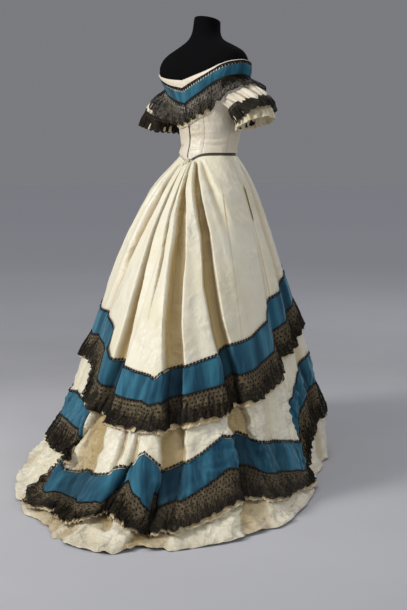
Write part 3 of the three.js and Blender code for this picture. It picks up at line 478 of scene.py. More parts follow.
def lifted(deg, level, lift, rough=1.0):
    """Points moved out from the skirt by lift, its crumples and the roll of its hem."""
    points = skirt(deg, level)
    normal = skirt_normal(deg, level)
    roll = HEM_ROLL * smooth((level - 10.75) / 0.2) * (1 - 0.5 * smooth((level - 10.95) / 0.05))
    lift = lift + crumple(points, level) * rough + roll
    points = points + normal * lift[..., None]
    points[..., 2] = np.maximum(points[..., 2], 0.6 + hem_rise(points, level))
    return points


def hem_rise(points, level):
    """The hem rolls up off the floor here and there, most behind."""
    flat = points * np.array([1, 1, 0])
    return np.clip(noise(flat, 70, 12) * 11 + noise(flat, 31, 14) * 5, 0, 14) * smooth((level - 10.2) / 0.7)


# ---------------------------------------------------------------- meshes


def make(name, points, faces, uv=None, values=None):
    mesh = bpy.data.meshes.new(name)
    mesh.from_pydata((points.reshape(-1, 3) * MM).tolist(), [], faces.tolist())
    if uv is not None:
        layer = mesh.uv_layers.new(name="cut")
        layer.data.foreach_set("uv", uv.reshape(-1, 2)[faces.ravel()].astype(np.float32).ravel())
    for key, value in (values or {}).items():
        attribute = mesh.attributes.new(key, "FLOAT", "POINT")
        attribute.data.foreach_set("value", np.asarray(value, np.float32).ravel())
    mesh.polygons.foreach_set("use_smooth", np.ones(len(mesh.polygons), bool))
    mesh.update()
    piece = bpy.data.objects.new(name, mesh)
    bpy.context.scene.collection.objects.link(piece)
    return piece


def grid_faces(points, ring=False):
    """Quads between points[column, row]; in a ring the last column meets the first."""
    columns, rows = points.shape[:2]
    i = np.arange(columns if ring else columns - 1)[:, None]
    j = np.arange(rows - 1)[None]
    a = i * rows + j
    b = (i + 1) % columns * rows + j
    return np.stack([a, a + 1, b + 1, b], axis=-1).reshape(-1, 4)


def cloth_uv(points):
    """Metres along the cloth and metres down it, for points[column, row]."""
    along = np.linalg.norm(np.diff(points, axis=0), axis=-1).mean(axis=1)
    along = np.concatenate([[0], np.cumsum(along)])
    down = np.linalg.norm(np.diff(points, axis=1), axis=-1)
    down = np.concatenate([np.zeros((len(points), 1)), np.cumsum(down, axis=1)], axis=1)
    return np.stack([np.repeat(along[:, None], points.shape[1], axis=1), down], axis=-1) * MM


def lace_uv(points, full):
    """The flat place on a narrow lace: full is its cut length against what shows."""
    columns, rows = points.shape[:2]
    down = np.repeat(shares(rows), columns, 0) * NARROW_LACE
    return np.stack([cloth_uv(points)[..., 0] * full, down], -1)


def area_of(points):
    a, b, c, d = points[:-1, :-1], points[:-1, 1:], points[1:, 1:], points[1:, :-1]
    near, far = np.cross(b - a, c - a), np.cross(c - a, d - a)
    return (np.linalg.norm(near, axis=-1).sum() + np.linalg.norm(far, axis=-1).sum()) / 2 * MM * MM


def dress(piece, material, nodes=()):
    """A piece's material and body, and hides the CAD's nodes that it takes the place of."""
    piece.data.materials.append(material)
    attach(piece, "root")
    if nodes:
        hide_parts(*nodes)


# The shortest side of a flat sheet in metres, and the least share of its box that is cloth.
LEAST_SIDE, LEAST_SHARE = 0.011, 0.301


def cloth(name, points, material, nodes=(), uv=None, values=None, full=1.0):
    """A piece of cloth from points[column, row]; round a ring the last column repeats the first.

    full is how much more cloth was cut than its surface shows, as in gathers."""
    uv = cloth_uv(points) if uv is None else uv
    piece = make(f"{name}_cloth", points, grid_faces(points), uv, values)
    dress(piece, material, nodes)
    area = area_of(points) * full
    size = np.ptp(uv.reshape(-1, 2), axis=0)
    width, length = max(size[0] * full, LEAST_SIDE), max(size[1], LEAST_SIDE)
    if width * length < area:
        width = area / length * 1.001
    flat = (round(float(width), 3) + 0.001, round(float(length), 3) + 0.001)
    area = max(area, LEAST_SHARE * flat[0] * flat[1])


# ---------------------------------------------------------------- materials


class Paint:
    """A material's nodes, made one after another."""

    def __init__(self, name):
        self.material = bpy.data.materials.new(name)
        self.material.use_nodes = True
        self.tree = self.material.node_tree
        self.tree.nodes.clear()
        self.out = self.tree.nodes.new("ShaderNodeOutputMaterial")
        self.shader = self.tree.nodes.new("ShaderNodeBsdfPrincipled")
        self.tree.links.new(self.shader.outputs[0], self.out.inputs["Surface"])
        self.place = self.tree.nodes.new("ShaderNodeTexCoord").outputs["Object"]

    def put(self, socket, value):
        if isinstance(value, bpy.types.NodeSocket):
            self.tree.links.new(value, socket)
        else:
            socket.default_value = value

    def node(self, kind, inputs, output=0, **settings):
        made = self.tree.nodes.new(kind)
        for key, value in settings.items():
            setattr(made, key, value)
        for key, value in inputs.items():
            self.put(made.inputs[key], value)
        return made.outputs[output]

    def set(self, **inputs):
        for key, value in inputs.items():
            self.put(self.shader.inputs[key.replace("_", " ")], value)

    def math(self, operation, a, b=0.0):
        return self.node("ShaderNodeMath", {0: a, 1: b}, operation=operation)

    def most(self, first, *others):
        """The largest of several values."""
        for value in others:
            first = self.math("MAXIMUM", first, value)
        return first

    def off(self, value, middle=0.5):
        """How far a value lies from a middle."""
        return self.math("ABSOLUTE", self.math("SUBTRACT", value, middle))

    def noise(self, scale, detail=3.0, place=None, distortion=0.0):
        return self.node("ShaderNodeTexNoise", {
            "Vector": place or self.place, "Scale": scale, "Detail": detail, "Roughness": 0.55,
            "Distortion": distortion,
        })

    def grain(self, stretch, detail, place=None, distortion=0.0):
        """Noise whose bumps differ in size along the three ways."""
        place = self.node("ShaderNodeMapping", {"Vector": place or self.place, "Scale": stretch})
        return self.noise(1.0, detail, place, distortion)

    def span(self, value, low, high, new_low=0.0, new_high=1.0):
        """A value moved smoothly from one range to another."""
        return self.node("ShaderNodeMapRange", {
            "Value": value, "From Min": low, "From Max": high, "To Min": new_low, "To Max": new_high,
        }, interpolation_type="SMOOTHSTEP")

    def facets(self, place, scale):
        """Cells that meet in sharp creases."""
        return self.node("ShaderNodeTexVoronoi", {"Vector": place, "Scale": scale}, feature="F1")

    def blend(self, factor, a, b):
        """Colour a, or b where the factor is 1."""
        made = self.tree.nodes.new("ShaderNodeMix")
        made.data_type = "RGBA"
        self.put(made.inputs[0], factor)
        self.put(made.inputs[6], a)
        self.put(made.inputs[7], b)
        return made.outputs[2]

    def value(self, name):
        """One of the values stored on a piece's points."""
        return self.node("ShaderNodeAttribute", {}, output=2, attribute_name=name)

    def cut(self):
        """The place on the flat cloth, in metres along it and down it."""
        return self.node("ShaderNodeUVMap", {}, uv_map="cut")

    def ways(self, at):
        """The two numbers of a place on the flat cloth."""
        made = self.tree.nodes.new("ShaderNodeSeparateXYZ")
        self.put(made.inputs[0], at)
        return made.outputs[0], made.outputs[1]

    def bump(self, height, distance, strength, below=None):
        inputs = {"Height": height, "Distance": distance, "Strength": strength}
        if below is not None:
            inputs["Normal"] = below
        return self.node("ShaderNodeBump", inputs)


def silk_paint(name, colour, shade, soil=True):
    """Taffeta with a slubbed weave, broken creases where it is crushed, soil near the floor, and painted
    shade in the shade colour where a piece marks valleys, seams and recesses.
    """
    p = Paint(name)
    slub = p.grain((60, 900, 1), 2.0, p.cut())
    blotch = p.noise(7.0, 4.0)
    worn = [c * k for c, k in zip(colour[:3], (0.95, 0.93, 0.85))] + [1]
    base = p.blend(p.span(blotch, 0.38, 0.7), colour, worn)
    base = p.blend(p.span(slub, 0.35, 0.75, 0.0, 0.12), base, (0.5, 0.42, 0.28, 1))
    # Painted shade: the shade colour where the piece marks its valleys, seams and recesses.
    base = p.blend(p.span(p.value("painted_shade"), 0.05, 0.9, 0.0, 0.95), base, shade)
    if soil:
        dirt = p.math("MULTIPLY", p.value("soil"), p.span(blotch, 0.3, 0.6))
        base = p.blend(dirt, base, (0.42, 0.34, 0.22, 1))
    p.set(Base_Color=base, Roughness=p.span(blotch, 0.3, 0.7, 0.36, 0.5), Specular_IOR_Level=0.5,
          Sheen_Weight=0.25, Sheen_Roughness=0.4, Sheen_Tint=(1.0, 0.95, 0.85, 1))
    crush = p.value("crush")
    patch = p.math("MAXIMUM", p.math("MULTIPLY", p.span(p.noise(5.0, 2.0), 0.46, 0.66), 0.45), crush)
    drift = p.node("ShaderNodeTexNoise", {"Vector": p.place, "Scale": 9.0, "Detail": 2.0}, output=1)
    bent = p.node("ShaderNodeVectorMath", {0: drift, 1: (0.05, 0.05, 0.05), 2: p.place},
                  operation="MULTIPLY_ADD")
    fine = p.off(p.noise(80.0, 2.0, distortion=0.4))
    short = p.off(p.grain((9, 9, 27), 2.0, distortion=1.0))
    normal = p.bump(p.off(p.noise(26.0, 3.0, distortion=0.6)), 0.012, 0.3)
    for height, where, distance, strength in (
        (p.facets(bent, 13.0), patch, 0.03, 0.35), (p.facets(bent, 34.0), patch, 0.022, 0.4),
        (fine, patch, 0.012, 0.5), (short, crush, 0.04, 0.4),
    ):
        normal = p.bump(p.math("MULTIPLY", height, where), distance, strength, normal)
    p.set(Normal=p.bump(slub, 0.0006, 0.25, normal))
    return p.material


def velvet_paint():
    """Teal velvet with brushed streaks, rubbed streaks lightened as a painted highlight, and painted shade
    in the valleys.
    """
    p = Paint("velvet")
    at = p.cut()
    pile = p.noise(1600.0, 2.0)
    brushed = p.grain((24, 4, 1), 3.0, at, 0.5)
    rubbed_highlight = p.grain((90, 9, 1), 3.0, at)
    base = p.blend(p.span(brushed, 0.36, 0.68), (0.006, 0.050, 0.088, 1), (0.03, 0.145, 0.215, 1))
    # Painted highlight: rubbed streaks of the pile lightened to a paler teal.
    base = p.blend(p.span(rubbed_highlight, 0.55, 0.8, 0.0, 0.4), base, (0.06, 0.23, 0.32, 1))
    # Painted shade: darker and with less sheen in the skirt's valleys.
    base = p.blend(p.math("MULTIPLY", p.value("painted_shade"), 0.85), base, (0.001, 0.010, 0.020, 1))
    sheen = p.math("SUBTRACT", 0.8, p.math("MULTIPLY", p.value("painted_shade"), 0.65))
    p.set(Base_Color=base, Roughness=0.85, Specular_IOR_Level=0.25, Sheen_Weight=sheen, Sheen_Roughness=0.35,
          Sheen_Tint=(0.36, 0.62, 0.75, 1), Normal=p.bump(pile, 0.0006, 0.5, p.bump(brushed, 0.004, 0.3)))
    return p.material


# The lace's net and dots in metres, and its thread as a share of the net's step.
NET_EACH, NET_THREAD = 0.0026, 0.24
DOT_WIDE, DOT_HIGH, DOT_RADIUS = 0.0165, 0.0142, 0.0038


def lace_paint(name, depth, border, pitch=0.048, dense=0.0, pale=0.0):
    """Black lace: a fine net with dots, a border of ordinary five-leaved flowers, and scallops.

    depth is how far down the flounce goes, border how much of that the flowers take, and pitch
    their distance; dense makes the net closer, and pale lightens the flowers."""
    p = Paint(name)
    at = p.cut()
    along, down = p.ways(at)
    m = p.math

    def line(value, each, width):
        return m("LESS_THAN", p.off(m("FRACT", m("DIVIDE", value, each))), width / 2)

    def within(value, size):
        """How far a value lies from the middle of its cell, as a length."""
        return m("MULTIPLY", m("SUBTRACT", m("FRACT", value), 0.5), size)

    def length(x, y):
        return m("SQRT", m("ADD", m("MULTIPLY", x, x), m("MULTIPLY", y, y)))

    slant_up = line(m("ADD", along, down), NET_EACH, NET_THREAD + dense)
    slant_down = line(m("SUBTRACT", along, down), NET_EACH, NET_THREAD + dense)
    clot = p.span(p.noise(210.0, 2.0), 0.5, 0.7)
    fall = m("DIVIDE", down, depth)
    thread = p.grain((150, 13, 1), 2.0, at)
    streak = p.span(m("ADD", thread, m("MULTIPLY", fall, 0.22)), 0.62, 0.70)
    broad = p.grain((34, 5, 1), 2.0, at)
    shadow = p.span(m("ADD", broad, m("MULTIPLY", fall, 0.12)), 0.62, 0.74, 0.0, 0.85)
    net = p.most(slant_up, slant_down, m("MULTIPLY", clot, 0.5), streak, shadow)

    # Dots on a staggered grid.
    row = m("DIVIDE", down, DOT_HIGH)
    place = m("ADD", m("DIVIDE", along, DOT_WIDE), m("MULTIPLY", m("MODULO", m("FLOOR", row), 2.0), 0.5))
    dots = m("LESS_THAN", length(within(place, DOT_WIDE), within(row, DOT_HIGH)), DOT_RADIUS)

    def flower(shift, centre, size):
        x = within(m("ADD", m("DIVIDE", along, pitch), shift), pitch)
        y = m("SUBTRACT", down, centre)
        r = length(x, y)
        leaf = m("COSINE", m("MULTIPLY", m("ARCTAN2", y, x), 5.0))
        petal = m("MULTIPLY", m("ADD", m("MULTIPLY", leaf, 0.26), 0.74), size)
        ring = m("GREATER_THAN", p.off(r, size * 0.42), size * 0.09)
        return m("MULTIPLY", m("LESS_THAN", r, petal), ring)

    flowers = m("MAXIMUM", flower(0.0, depth - 0.026, 0.017), flower(0.5, depth - 0.042, 0.012))
    wave = m("ABSOLUTE", m("COSINE", m("MULTIPLY", along, math.pi / pitch)))
    edge = m("ADD", m("MULTIPLY", wave, 0.010), depth - 0.012)
    heading = m("LESS_THAN", down, 0.004)
    stripe = m("LESS_THAN", p.off(down, depth * (1 - border)), 0.0018)
    rim = m("LESS_THAN", p.off(down, m("SUBTRACT", edge, 0.003)), 0.003)
    cover = p.most(net, dots, m("MULTIPLY", flowers, 0.9), heading, m("MULTIPLY", stripe, 0.7), rim)
    # The net is too fine to see thread by thread, so it also veils what lies behind it.
    veil = m("ADD", m("MULTIPLY", p.span(fall, 0.3, 0.8), 0.2), 0.22 + dense)
    # Painted shade: the veil thickens where the lace lies in the skirt's valleys.
    veil = m("MINIMUM", m("ADD", veil, m("MULTIPLY", p.value("painted_shade"), 0.4)), 0.95)
    cover = m("MAXIMUM", m("MULTIPLY", cover, 0.97), veil)
    cover = m("MULTIPLY", cover, m("LESS_THAN", down, edge))
    worn = p.noise(40.0, 2.0)
    thick = m("MAXIMUM", flowers, dots)
    base = p.blend(p.span(worn, 0.35, 0.7), (0.005, 0.004, 0.003, 1), (0.016, 0.012, 0.007, 1))
    if pale:
        base = p.blend(m("MULTIPLY", flowers, pale), base, (0.42, 0.40, 0.36, 1))
    p.set(Base_Color=base, Roughness=0.7, Alpha=cover, Specular_IOR_Level=0.12,
          Normal=p.bump(thick, 0.0006, 0.6))
    return p.material


# The length of a loop of the braid and of a turn of the cord, in metres.
LOOP_EACH, TWIST_EACH = 0.0125, 0.004


def gimp_paint():
    """Narrow black braid with small loops along its edges."""
    p = Paint("gimp")
    along, down = p.ways(p.cut())
    m = p.math
    centre = p.off(down, 0.008)
    wave = m("ABSOLUTE", m("SINE", m("MULTIPLY", along, math.pi / LOOP_EACH)))
    solid = m("LESS_THAN", centre, m("ADD", m("MULTIPLY", wave, 0.0052), 0.0020))
    hole = m("LESS_THAN", p.off(m("FRACT", m("DIVIDE", along, LOOP_EACH))), 0.24)
    hole = m("MULTIPLY", hole, m("GREATER_THAN", centre, 0.0014))
    inner = m("LESS_THAN", p.off(down, 0.0125), 0.0018)
    cover = m("MAXIMUM", m("MULTIPLY", solid, m("SUBTRACT", 1.0, hole)), inner)
    p.set(Base_Color=(0.008, 0.007, 0.006, 1), Roughness=0.7, Specular_IOR_Level=0.15, Alpha=cover,
          Normal=p.bump(wave, 0.001, 0.6))
    return p.material


def cord_paint():
    """Thin black cord, twisted."""
    p = Paint("cord")
    along, down = p.ways(p.cut())
    twist = p.math("SINE", p.math("MULTIPLY", p.math("ADD", along, down), 2 * math.pi / TWIST_EACH))
    base = p.blend(p.span(twist, -1.0, 1.0), (0.006, 0.005, 0.005, 1), (0.02, 0.017, 0.014, 1))
    p.set(Base_Color=base, Roughness=0.6, Specular_IOR_Level=0.2, Normal=p.bump(twist, 0.001, 0.7))
    return p.material


def frill_paint():
    """Cream silk, lightly soiled, with painted shade in browns where the lace lies over it."""
    p = Paint("frill")
    thread = p.grain((700, 60, 1), 2.0, p.cut())
    blotch = p.noise(30.0, 3.0)
    base = p.blend(p.span(blotch, 0.35, 0.7), (0.70, 0.63, 0.46, 1), (0.50, 0.40, 0.22, 1))
    # Painted shade of the lace, in browns.
    shaded_brown = p.blend(p.span(p.noise(110.0, 2.0), 0.4, 0.65), (0.48, 0.34, 0.15, 1), (0.66, 0.54, 0.33, 1))
    base = p.blend(p.value("painted_shade"), base, shaded_brown)
    p.set(Base_Color=base, Roughness=0.6, Sheen_Weight=0.3, Normal=p.bump(thread, 0.0008, 0.5))
    return p.material


def jersey_paint():
    """The form's black knitted cover."""
    p = Paint("jersey")
    knit = p.node("ShaderNodeTexWave", {"Vector": p.place, "Scale": 260.0, "Distortion": 1.5, "Detail": 1.0},
                  output=1, bands_direction="Z")
    lint = p.noise(220.0, 2.0)
    base = p.blend(p.span(lint, 0.5, 0.8, 0.0, 0.5), (0.003, 0.003, 0.0035, 1), (0.007, 0.007, 0.008, 1))
    p.set(Base_Color=base, Roughness=0.95, Specular_IOR_Level=0.04, Normal=p.bump(knit, 0.0005, 0.3))
    return p.material


def iron_paint():
    """Worn black cast iron."""
    p = Paint("iron")
    cast = p.noise(300.0, 3.0)
    wear = p.noise(18.0, 4.0)
    base = p.blend(p.span(wear, 0.55, 0.75), (0.012, 0.012, 0.013, 1), (0.05, 0.045, 0.04, 1))
    p.set(Base_Color=base, Metallic=0.4, Roughness=p.span(wear, 0.3, 0.7, 0.35, 0.6),
          Normal=p.bump(cast, 0.0008, 0.3))
    return p.material


# The second colour of each silk is its painted shade.
SILK = silk_paint("silk_skirt", (0.79, 0.745, 0.60, 1), (0.40, 0.285, 0.11, 1))
BODICE_SILK = silk_paint("silk_bodice", (0.70, 0.64, 0.53, 1), (0.30, 0.21, 0.12, 1), soil=False)
# Its near-black second colour is the painted shadow of the waist's recess and the back's opening.
WAIST_SHADE_SILK = silk_paint("silk_waist_shade", (0.62, 0.56, 0.44, 1), (0.02, 0.015, 0.01, 1), soil=False)
VELVET = velvet_paint()
UPPER_LACE = lace_paint("lace_upper", 0.107, 0.42)
LOWER_LACE = lace_paint("lace_lower", 0.124, 0.42)
NECK_LACE = lace_paint("lace_neck", 0.019, 0.4, pitch=0.011, dense=0.05)
BERTHA_LACE = lace_paint("lace_bertha", 0.075, 0.45, pitch=0.052, dense=-0.06, pale=0.1)
SLEEVE_NET = lace_paint("lace_sleeve", 0.075, 0.45, pitch=0.03, dense=0.26)
GIMP = gimp_paint()
CORD = cord_paint()
FRILL = frill_paint()
JERSEY = jersey_paint()
IRON = iron_paint()

# ---------------------------------------------------------------- the skirt

COLUMN_STEP = 0.3


def pocket_gape(deg, points, near, side):
    """How far a gore's edge is drawn back beside the pocket's slit, and how much slit is there."""
    slit = smooth((POCKET_TOP - points[..., 2]) / 25) * smooth((points[..., 2] - POCKET_BOTTOM) / 25)
    gape = (0.3 + 1.3 * np.exp(-near ** 2)) * slit * side
    rad = np.radians(deg)[:, None]
    return np.stack([np.cos(rad) * gape, np.sin(rad) * gape], axis=-1), slit


def gore(name, start, end):
    """One gore, with painted shade in its pleats' valleys, a little along its seams and in the pocket's
    slit, which stands open.
    """
    deg = np.linspace(start, end, int(round((end - start) / COLUMN_STEP)) + 1)
    rows = np.concatenate([np.linspace(0, 1, 22)[:-1], np.linspace(1, HEM_LEVEL, 116)])
    level = np.repeat(rows[None], len(deg), axis=0)
    points = lifted(deg, level, np.zeros_like(level))
    near = np.minimum(deg - start, end - deg)[:, None]
    seam = np.exp(-(near * points[..., 2].max() / 1e3 / 0.5) ** 2)
    # Painted shade in the pleats' valleys and, a little, along the seams.
    painted_shade = fold_shade(deg[:, None], level) * smooth(level / 0.7)
    painted_shade = np.clip(painted_shade + 0.35 * seam * (level > 0.4), 0, 1)
    if POCKET_SEAM in (start, end):
        back, slit = pocket_gape(deg, points, near, 1 if start == POCKET_SEAM else -1)
        points[..., :2] -= back
        # Painted shade inside the pocket's slit.
        painted_shade = np.maximum(painted_shade, slit * np.exp(-(near / 0.8) ** 2))
    soil = smooth(1 - points[..., 2] / SOIL_HEIGHT) * SOIL
    cloth(name, points, SILK, [name],
          values={"painted_shade": painted_shade, "soil": soil, "crush": crushed(points, level)})


for row in GORES:
    gore(*row)

# ---------------------------------------------------------------- the skirt's trimming


def band_columns(table, count):
    """A band's table at count places, evenly spread along its foot."""
    rows = np.array(table, float)
    points = skirt(rows[:, 2], level_up(rows[:, 2], rows[:, 3:4]))[:, 0]
    along = np.concatenate([[0], np.cumsum(np.linalg.norm(np.diff(points, axis=0), axis=-1) + 1)])
    at = np.linspace(0, along[-1], count)
    return [np.interp(at, along, rows[:, k])[:, None] for k in range(7)]


def trim_shade(deg, up):
    """How much each place of a band lies in a valley of the skirt, for its painted shade."""
    flat = deg.ravel()
    return fold_shade(flat[:, None], level_up(flat, up.reshape(-1, 1))).reshape(deg.shape)


def trim_points(deg, up, lift, rough=1.0):
    """Points for a direction, a distance up the cloth and a lift at each [column, row]."""
    flat = deg.ravel()
    points = lifted(flat, level_up(flat, up.reshape(-1, 1)), lift.reshape(-1, 1), rough)
    return points.reshape(deg.shape + (3,))


def gathers(points, seed):
    """Uneven waves along a flounce, from -1.65 to 1.65, and the way along it."""
    step = np.linalg.norm(np.diff(points, axis=0), axis=-1)
    along = np.concatenate([[0], np.cumsum(step)])
    wobble = noise_along(along, 70, seed) * 1.6
    wave = np.sin(along / SHORT_WAVE * 2 * np.pi + wobble * 1.5)
    wave = wave + 0.5 * np.sin(along / LONG_WAVE * 2 * np.pi + wobble * 2)
    patch = 0.6 + 0.5 * noise_along(along, 120, seed, 5)
    return (wave * patch)[:, None], along


def velvet_band(word, table):
    """A band of velvet with braid along its top edge and cord along its foot."""
    top_deg, top_up, foot_deg, foot_up, _, _, out = band_columns(table, BAND_PLACES)
    share = shares(12)
    swell = 3.0 + out + np.sin(np.pi * share)
    swell[:, 0] -= 2.2
    swell[:, -1] -= 2.2
    deg, up = mix(top_deg, foot_deg, share), mix(top_up, foot_up, share)
    # The band gets painted shade where it crosses the skirt's valleys.
    cloth(f"{word}_velvet_band", trim_points(deg, up, swell), VELVET,
          [f"{word}_velvet_band"],
          values={"painted_shade": trim_shade(deg, up)})
    share = shares(4)
    for place, deg, up, start, high, paint in (
        ("top", top_deg, top_up, 13, 16, GIMP), ("bottom", foot_deg, foot_up, 3, 5, CORD),
    ):
        points = trim_points(deg + 0 * share, up + start - high * share, 4.6 + out + 0 * share)
        cloth(f"{word}_gimp_{place}", points, paint)


def flounce(word, table, lace_depth, lace, seed):
    """The lace gathered under a band's foot, and the frill that shows below its edge."""
    _, _, foot_deg, foot_up, edge_deg, edge_up, out = band_columns(table, FLOUNCE_PLACES)
    wave, along = gathers(trim_points(foot_deg, foot_up, out)[:, 0], seed)
    share = shares(18)
    ragged = noise_along(along, 34, seed + 4)[:, None] * 7 * share
    deg, up = mix(foot_deg, edge_deg, share), np.maximum(mix(foot_up + 3, edge_up, share) + ragged, 5)
    lift = 3.2 + out + 14 * share ** 0.8 + wave * 5.5 * smooth(share * 1.6)
    down = np.repeat(share, len(along), 0) * (lace_depth + 5)
    uv = np.stack([np.repeat(along[:, None], 18, 1) * 1.25, down], -1) * MM
    # The lace carries painted shade where it crosses the skirt's valleys.
    cloth(f"{word}_lace_flounce", trim_points(deg, up, lift, SHOWS_THROUGH), lace,
          [f"{word}_lace_flounce"], uv=uv, full=1.3,
          values={"painted_shade": trim_shade(deg, up)})

    share = shares(12)
    fine = np.sin(along / 9 * 2 * np.pi)[:, None]
    shows = 3 + noise_along(along, 85, seed + 6)[:, None] * 11
    up = np.maximum(mix(foot_up, edge_up - shows + fine * 1.2, share), 3)
    lift = 1.6 + out + 8.0 * share + wave * 4.4 * smooth(share * 1.6)
    lift = lift + fine * 1.2 * smooth((share - 0.85) / 0.15)
    # Painted shade under the lace, less at the frill's lower edge where it shows.
    lace_shadow = 1 - 0.75 * smooth((share - 0.9) / 0.1) + 0 * up
    points = trim_points(mix(foot_deg, edge_deg, share), up, lift, SHOWS_THROUGH)
    cloth(f"{word}_silk_frill", points, FRILL,
          [f"{word}_silk_frill"], full=1.3, values={"painted_shade": lace_shadow})


def tier(word, table, lace_depth, lace, seed):
    velvet_band(word, table)
    flounce(word, table, lace_depth, lace, seed)


tier("upper", UPPER_BAND, UPPER_LACE_DEPTH, UPPER_LACE, 11)
tier("lower", LOWER_BAND, LOWER_LACE_DEPTH, LOWER_LACE, 13)

# ---------------------------------------------------------------- the torso's surface


def body(deg, z, lift):
    """Points on the torso moved out by lift; deg, z and lift are arrays of one shape."""
    keys = BODY[:, 0]
    side, centre, deep = (curve(keys, BODY[:, k], z) for k in (1, 2, 3))
    exponent = 2 / curve(keys, BODY[:, 4], z)
    rad = np.radians(deg)
    sine, cosine = np.sin(rad), np.cos(rad)
    x = -side * np.sign(sine) * np.abs(sine) ** exponent
    y = deep * np.sign(cosine) * np.abs(cosine) ** exponent
    out = np.hypot(x, y)
    return np.stack([x * (1 + lift / out), centre + y * (1 + lift / out), z], axis=-1)


def form():
    """The limbless form, with the neck's cut top a little domed and rolled at its edge."""
    deg = np.linspace(-180, 180, 121)[:-1]
    column, height = np.meshgrid(deg, np.linspace(BODY[0, 0], BODY[-1, 0], 100), indexing="ij")
    points = body(column, height, -(FORM_INSET + FORM_INSET_BELOW * smooth((1050 - height) / 30)))
    slant = smooth((height - SLANT_HEIGHT) / (BODY[-1, 0] - SLANT_HEIGHT)) * NECK_SLANT
    points[..., 2] += slant * points[..., 1]
    foot, top = points[:, 0], points[:, -1]
    rings = [mix(foot.mean(axis=0), foot, 0.02)[:, None], points]
    middle = top.mean(axis=0)
    for inward, rise in ((0.97, 1.4), (0.9, 2.2), (0.6, 2.8), (0.3, 3.2), (0.02, 3.4)):
        rings.append((middle + (top - middle) * inward + np.array([0, 0, rise]))[:, None])
    grid = np.concatenate(rings, axis=1)
    dress(make("form_body", grid, grid_faces(grid, True)), JERSEY, ["form_torso"])


def turned_piece(name, node, outline):
    """A shape turned on the vertical axis from rows of radius and height."""
    turn = np.radians(np.linspace(0, 360, 97)[:-1])[:, None]
    rz = np.array(outline, float)
    points = np.stack([rz[:, 0] * np.cos(turn), rz[:, 0] * np.sin(turn), rz[:, 1] + 0 * turn], axis=-1)
    dress(make(name, points, grid_faces(points, True)[:, ::-1]), IRON, [node])


form()
turned_piece("pole", "form_pole", POLE)
turned_piece("foot", "form_base", BASE)

# ---------------------------------------------------------------- bodice


def neck_line(deg):
    return straight(NECK, 1, deg)


def band_bottom(deg):
    return neck_line(deg) - straight(NECK, 2, deg)


def panel_top(deg):
    """The height where a panel ends, under the neck band and round the armhole."""
    side = np.abs(turned(deg, 0))
    back = smooth((side - ARMHOLE_BACK) / (ARMHOLE_UNDER - ARMHOLE_BACK))
    front = smooth((ARMHOLE_FRONT - side) / (ARMHOLE_FRONT - ARMHOLE_FRONT_UNDER))
    return mix(band_bottom(deg) + 3, ARMHOLE_BOTTOM, np.minimum(back, front))


def panel(name, start, end):
    """A panel of the bodice: wrinkled round the waist, crushed beside the back's opening, with painted shade
    along its seams, in its wrinkles' hollows and at the opening.
    """
    deg = np.linspace(start, end, int((end - start) * 1.5) + 1)[:, None]
    z = mix(panel_top(deg), waist_line(deg), shares(90))
    column = deg + 0 * z
    flat = body(column, z, np.zeros_like(z))
    near = np.minimum(column - start, end - column)
    side = np.abs(turned(column, 0))
    wrinkle = noise(flat * np.array([0.35, 0.35, 2.2]), 24, 4) * 1.5
    wrinkle = wrinkle * smooth((z - 1045) / 20) * smooth((1190 - z) / 60)
    wrinkle = wrinkle * (1 + 0.9 * smooth((1115 - z) / 40))
    pull = creases(flat * np.array([0.5, 0.5, 1.4]), 34, 8) * 1.3
    crush = creases(flat, 17, 19) * 2.6 * (1 - smooth((side - 18) / 14)) * smooth((1205 - z) / 30)
    lift = 2.0 + wrinkle + pull + crush - 1.1 * np.exp(-(near / 0.9) ** 2)
    # Painted shade along the seams, in the wrinkles' hollows and at the opening.
    opening = np.exp(-(side / 0.8) ** 2)
    painted_shade = 0.5 * np.exp(-(near / 0.8) ** 2) + np.clip(-wrinkle * 0.2, 0, 0.4) + 0.6 * opening
    cloth(name, body(column, z, lift), BODICE_SILK, [name],
          values={"painted_shade": painted_shade})


def back_opening_shadow():
    """A near-black strip of painted shadow in the gap between the bodice's two edges at the centre back, a
    little crooked.
    """
    z = np.linspace(1218, 1036, 90)[:, None] + 0 * shares(5)
    half = 1.3 + 0.8 * noise_along(z, 21, 3)
    deg = mix(-half, half, shares(5)) + 0.5 * np.sin(z / 17)
    lift = 5.2 + 0.5 * np.sin(z / 9)
    cloth("back_opening_shadow", body(deg, z, lift), WAIST_SHADE_SILK,
          values={"painted_shade": 1.1 + 0 * z})


for row in BODICE_PANELS:
    panel(*row)
back_opening_shadow()


def body_strip(name, rows, material, nodes=(), shade=None):
    """A strip round the torso; rows(deg) gives heights and lifts as [column, row]."""
    deg = np.linspace(-180, 180, 481)[:, None]
    z, lift = rows(deg)
    column = deg + 0 * z
    values = {"painted_shade": shade(column)} if shade else None
    cloth(name, body(column, z, lift), material, nodes, values=values)


def neck_rows(deg):
    share = shares(10)
    z = mix(neck_line(deg), band_bottom(deg) - 3, share)
    lift = 3.0 + 0.8 * np.sin(np.pi * share) + 0 * z
    lift[:, 0] = 0.4
    return z, lift


body_strip("neck_band", neck_rows, BODICE_SILK, ["neck_band"])


def bertha_top(deg):
    return band_bottom(deg) + BERTHA_OVERLAP


def bertha_velvet_rows(deg):
    share = shares(14)
    z = bertha_top(deg) - BERTHA_VELVET_WIDTH * share
    lift = BERTHA_LIFT + 1.6 * np.sin(np.pi * share) + 0 * z
    flat = np.stack([deg + 0 * z, z, 0 * z], -1)
    lift += noise(flat * np.array([1.2, 0.25, 1]), 9, 6) * 1.2
    lift[:, 0] = lift[:, -1] = 2.6
    return z, lift


body_strip("bertha_velvet", bertha_velvet_rows, VELVET,
           ["bertha_velvet_band"])


